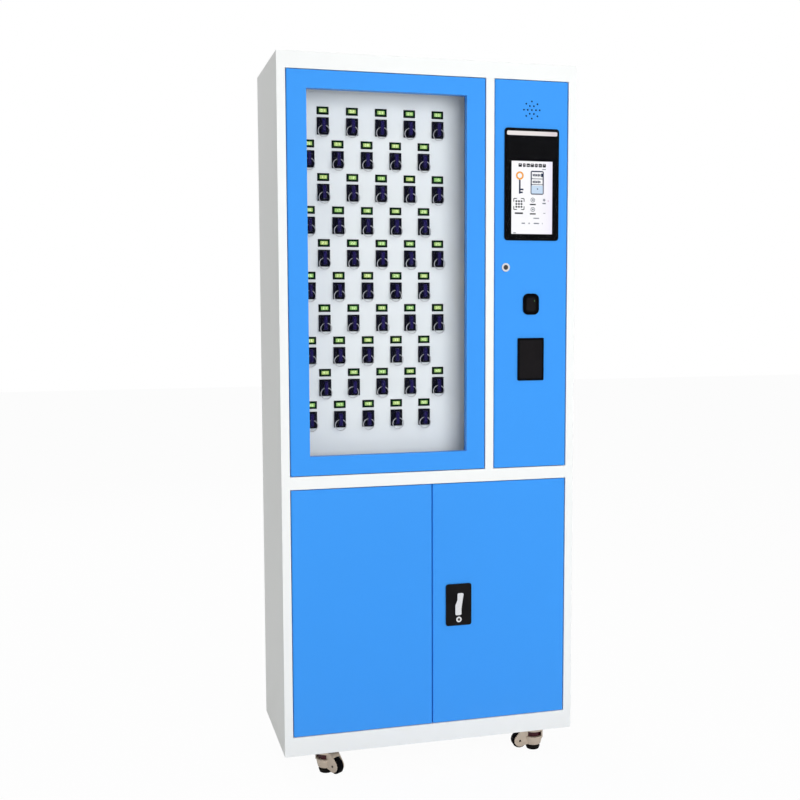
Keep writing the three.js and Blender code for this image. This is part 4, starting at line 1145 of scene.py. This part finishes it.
# %% Speaker cloth
WEAVE, CLOTH_RADIUS, KNOT_RADIUS = 1.6 * MM, 23.5 * MM, 0.62 * MM
cloth = moulded("speaker_cloth", srgb(20, 20, 22), 0.8, 400.0, 0.0001, 0.15)
speaker_x, speaker_z = face_middle("speaker")
cloth_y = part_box("speaker")[0].y - 0.1 * MM
turns = [i * math.pi / 3 for i in range(6)]
hexagon = [(KNOT_RADIUS * math.cos(turn), KNOT_RADIUS * math.sin(turn)) for turn in turns]
knot = item_mesh("knot", prism(hexagon, -0.12 * MM, 0.1 * MM))
half_count = int(CLOTH_RADIUS / WEAVE) + 1
knots = []
for across in range(-half_count, half_count + 1):
    for down in range(-half_count, half_count + 1):
        x, z = (across + 0.5 * (down % 2)) * WEAVE, down * WEAVE
        if math.hypot(x, z) < CLOTH_RADIUS:
            knots.append((speaker_x + x, cloth_y, speaker_z + z))
scattered("speaker_cloth", "control_door", "black_plastic", knot, cloth, unturned(knots))

# %% Latch
COLLAR_PROFILE = (
    (5.9, 0.2), (5.9, -1.1), (3.7, -1.1), (3.7, -1.4), (6.4, -1.7), (7.4, -1.5), (7.9, -0.9), (7.9, 0.2),
)
plate_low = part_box("latch_plate")[0]
key_x, key_z = face_middle("latch_key_cylinder")
collar = lathe(COLLAR_PROFILE, (key_x, plate_low.y, key_z))
shaped("latch_key_collar", collar, chrome, "lower_right_door")
edged("latch_lever", 0.9, chrome, segments=3)
LEVER_X, LEVER_Z = face_middle("latch_lever")[0], plate_low.z + 59.5 * MM
lever_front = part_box("latch_lever")[0].y
relief = bmesh.new()
for side in (1, -1):
    spot = (LEVER_X + side * 3.4 * MM, LEVER_Z + side * 15.5 * MM)
    plate((10, 19), 3.4, 6, spot, lever_front - 0.55 * MM, lever_front + 0.4 * MM, relief)
shaped("latch_lever_relief", relief, chrome, "latch_lever", 0.35)
print("lever at", [round(v, 4) for v in (LEVER_X, LEVER_Z)])

# %% [markdown]
# ## Screws, hoods and bolts
#
# Small fittings repeat all over a cabinet. A button-head screw, a hexagon bolt and its washer are
# modelled once, and the tree for items on points puts them where a maker would: screws along the
# folds that hold the back panel, and four bolts under each caster's plate. The louvres' pressed hoods
# are one item on the grid with no stagger.

# %% Screws in the back
BUTTON_PROFILE = (
    (0, -0.1), (1.25, -0.1), (1.35, 1.15), (2.0, 1.2), (2.9, 0.85), (3.4, 0.25), (3.4, -0.2), (0, -0.2),
)
BACK_SCREW_INSET, BACK_SCREW_COUNT = 7.5 * MM, 9
screw = item_mesh("screw", lathe(BUTTON_PROFILE, sides=12))
left_low, left_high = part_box("left_side_panel")
right_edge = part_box("right_side_panel")[1].x
screws = []
for x in (left_low.x + BACK_SCREW_INSET, right_edge - BACK_SCREW_INSET):
    for i in range(BACK_SCREW_COUNT):
        share = (i + 0.5) / BACK_SCREW_COUNT
        screws.append((x, left_high.y, left_low.z + share * (left_high.z - left_low.z)))
scattered("back_screws", "cabinet", "zinc", screw, zinc, unturned(screws))

# %% Louvre hoods
LOUVRE_LENGTH, LOUVRE_PITCH, LOUVRE_SPREAD = 90 * MM, 16 * MM, 400 * MM
LOUVRE_ROWS, LOUVRE_TOP = 8, 1.766
HOOD_DEPTH, HOOD_HEIGHT, HOOD_SHEET = 4.6 * MM, 7.5 * MM, 0.8 * MM
ARC_STEPS = 5


def quarter_arc(depth, height):
    angles = [math.pi / 2 * i / ARC_STEPS for i in range(ARC_STEPS + 1)]
    return [(depth * math.sin(a), height * math.cos(a)) for a in angles]


outer = quarter_arc(HOOD_DEPTH, HOOD_HEIGHT)
inner = quarter_arc(HOOD_DEPTH - HOOD_SHEET, HOOD_HEIGHT - HOOD_SHEET)
half = LOUVRE_LENGTH / 2
hood = prism(outer + inner[::-1], -half, half)
for side in (-1, 1):
    prism([(0, 0)] + outer[::-1], side * half, side * (half - HOOD_SHEET), into=hood)
bmesh.ops.rotate(hood, verts=hood.verts, matrix=Matrix.Rotation(-math.pi / 2, 3, "Z"))
for vertex in hood.verts:
    vertex.co.y = abs(vertex.co.y)
bmesh.ops.recalc_face_normals(hood, faces=hood.faces)
first_hood = (-LOUVRE_SPREAD / 2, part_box("back_panel")[1].y, LOUVRE_TOP)
on_grid(
    "louvre_hoods", "grey_paint", item_mesh("hood", hood), grey_paint, first_hood, 1,
    Count=2 * LOUVRE_ROWS, Columns=2, Column_pitch=LOUVRE_SPREAD, Row_pitch=LOUVRE_PITCH, Stagger=0.0,
)

# %% Power inlet
PIN_PLACES = ((-6.5, -1.5), (0, 2.5), (6.5, -1.5))
inlet_x, inlet_z = face_middle("power_inlet")
inlet_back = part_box("power_inlet")[1].y
pins = bmesh.new()
for x, z in PIN_PLACES:
    spot = (inlet_x + x * MM, inlet_z + z * MM)
    plate((2, 4), 0.5, 2, spot, inlet_back - 15.2 * MM, inlet_back - 3 * MM, pins)
shaped("power_inlet_pins", pins, zinc, "cabinet", 0.2, 1)
inlet_screws = [(inlet_x + side * 18.5 * MM, inlet_back, inlet_z) for side in (-1, 1)]
scattered("power_inlet_screws", "cabinet", "zinc", screw, zinc, unturned(inlet_screws, 0.8))

# %% Caster bolts
BOLT_INSET, PLATE_THICKNESS = 7 * MM, 3 * MM
BOLT_PROFILE = ((0, -4), (4.7, -4), (5.2, -3.5), (5.2, -0.8), (0, -0.8))
WASHER_PROFILE = ((0, -1.0), (5.7, -1.0), (5.9, -0.8), (5.9, 0.1), (0, 0.1))
bolt = item_mesh("bolt", lathe(BOLT_PROFILE, axis="Z", sides=6), 0.2, 1)
washer = item_mesh("washer", lathe(WASHER_PROFILE, axis="Z", sides=20))
bolts = []
for place_name in CASTER_PLACES:
    low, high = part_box(f"caster_{place_name}_plate")
    for x in (low.x + BOLT_INSET, high.x - BOLT_INSET):
        for y in (low.y + BOLT_INSET, high.y - BOLT_INSET):
            bolts.append(((x, y, high.z - PLATE_THICKNESS), (0, 0, 9 * x + 5 * y), 1.0))
for name, item in (("caster_bolts", bolt), ("caster_washers", washer)):
    scattered(name, "cabinet", "zinc", item, zinc, bolts)

# %% [markdown]
# ## Door seals
#
# Behind each door's edge runs a soft rubber bead that presses on the frame's stop lip. It is a sweep:
# a path with round corners, a round profile along it, flattened to two millimetres. One tree with the
# width, height, corner and bead as inputs makes all four.

# %% Seals
bead = Rule(
    "door seal", Width="Float", Height="Float", Corner="Float", Bead_radius="Float",
    Flatness="Float", Centre="Vector",
)
given = bead.given
inputs = {"Width": given["Width"], "Height": given["Height"]}
path = bead.add("GeometryNodeCurvePrimitiveQuadrilateral", inputs)[0]
inputs = {"Curve": path, "Radius": given["Corner"], "Limit Radius": True, "Count": 6}
rounded = bead.add("GeometryNodeFilletCurve", inputs, mode="POLY")[0]
inputs = {"Resolution": 10, "Radius": given["Bead radius"]}
profile = bead.add("GeometryNodeCurvePrimitiveCircle", inputs, mode="RADIUS")[0]
tube = bead.add("GeometryNodeCurveToMesh", {"Curve": rounded, "Profile Curve": profile})[0]
flat = bead.add("ShaderNodeCombineXYZ", {"X": 1.0, "Y": 1.0, "Z": given["Flatness"]})[0]
inputs = {"Geometry": tube, "Translation": given["Centre"], "Rotation": LAID_TO_UPRIGHT, "Scale": flat}
bead.end(bead.add("GeometryNodeTransform", inputs)[0])

SEAL_INSET, SEAL_CORNER, HINGE_PIN_REACH = 4 * MM, 5 * MM, 5 * MM
BEAD_RADIUS, SEAL_HALF_THICKNESS = 2.4 * MM, 1.0 * MM
DOOR_BACK = panel_front - 60 * MM
for node in ("glazed_door_frame", "control_door", "lower_left_door", "lower_right_door"):
    body = nodes[node]["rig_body"]
    low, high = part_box(node)
    middle_x, middle_z = face_middle(node)
    seal = laid_out(
        bead, body + "_seal", body, "black_rubber", Width=high.x - low.x - 2 * SEAL_INSET,
        Height=high.z - low.z - 2 * (SEAL_INSET + HINGE_PIN_REACH), Corner=SEAL_CORNER,
        Bead_radius=BEAD_RADIUS, Flatness=SEAL_HALF_THICKNESS / BEAD_RADIUS,
        Centre=(middle_x, DOOR_BACK + SEAL_HALF_THICKNESS, middle_z), Material=black_rubber,
    )
    seal.data.shade_smooth()
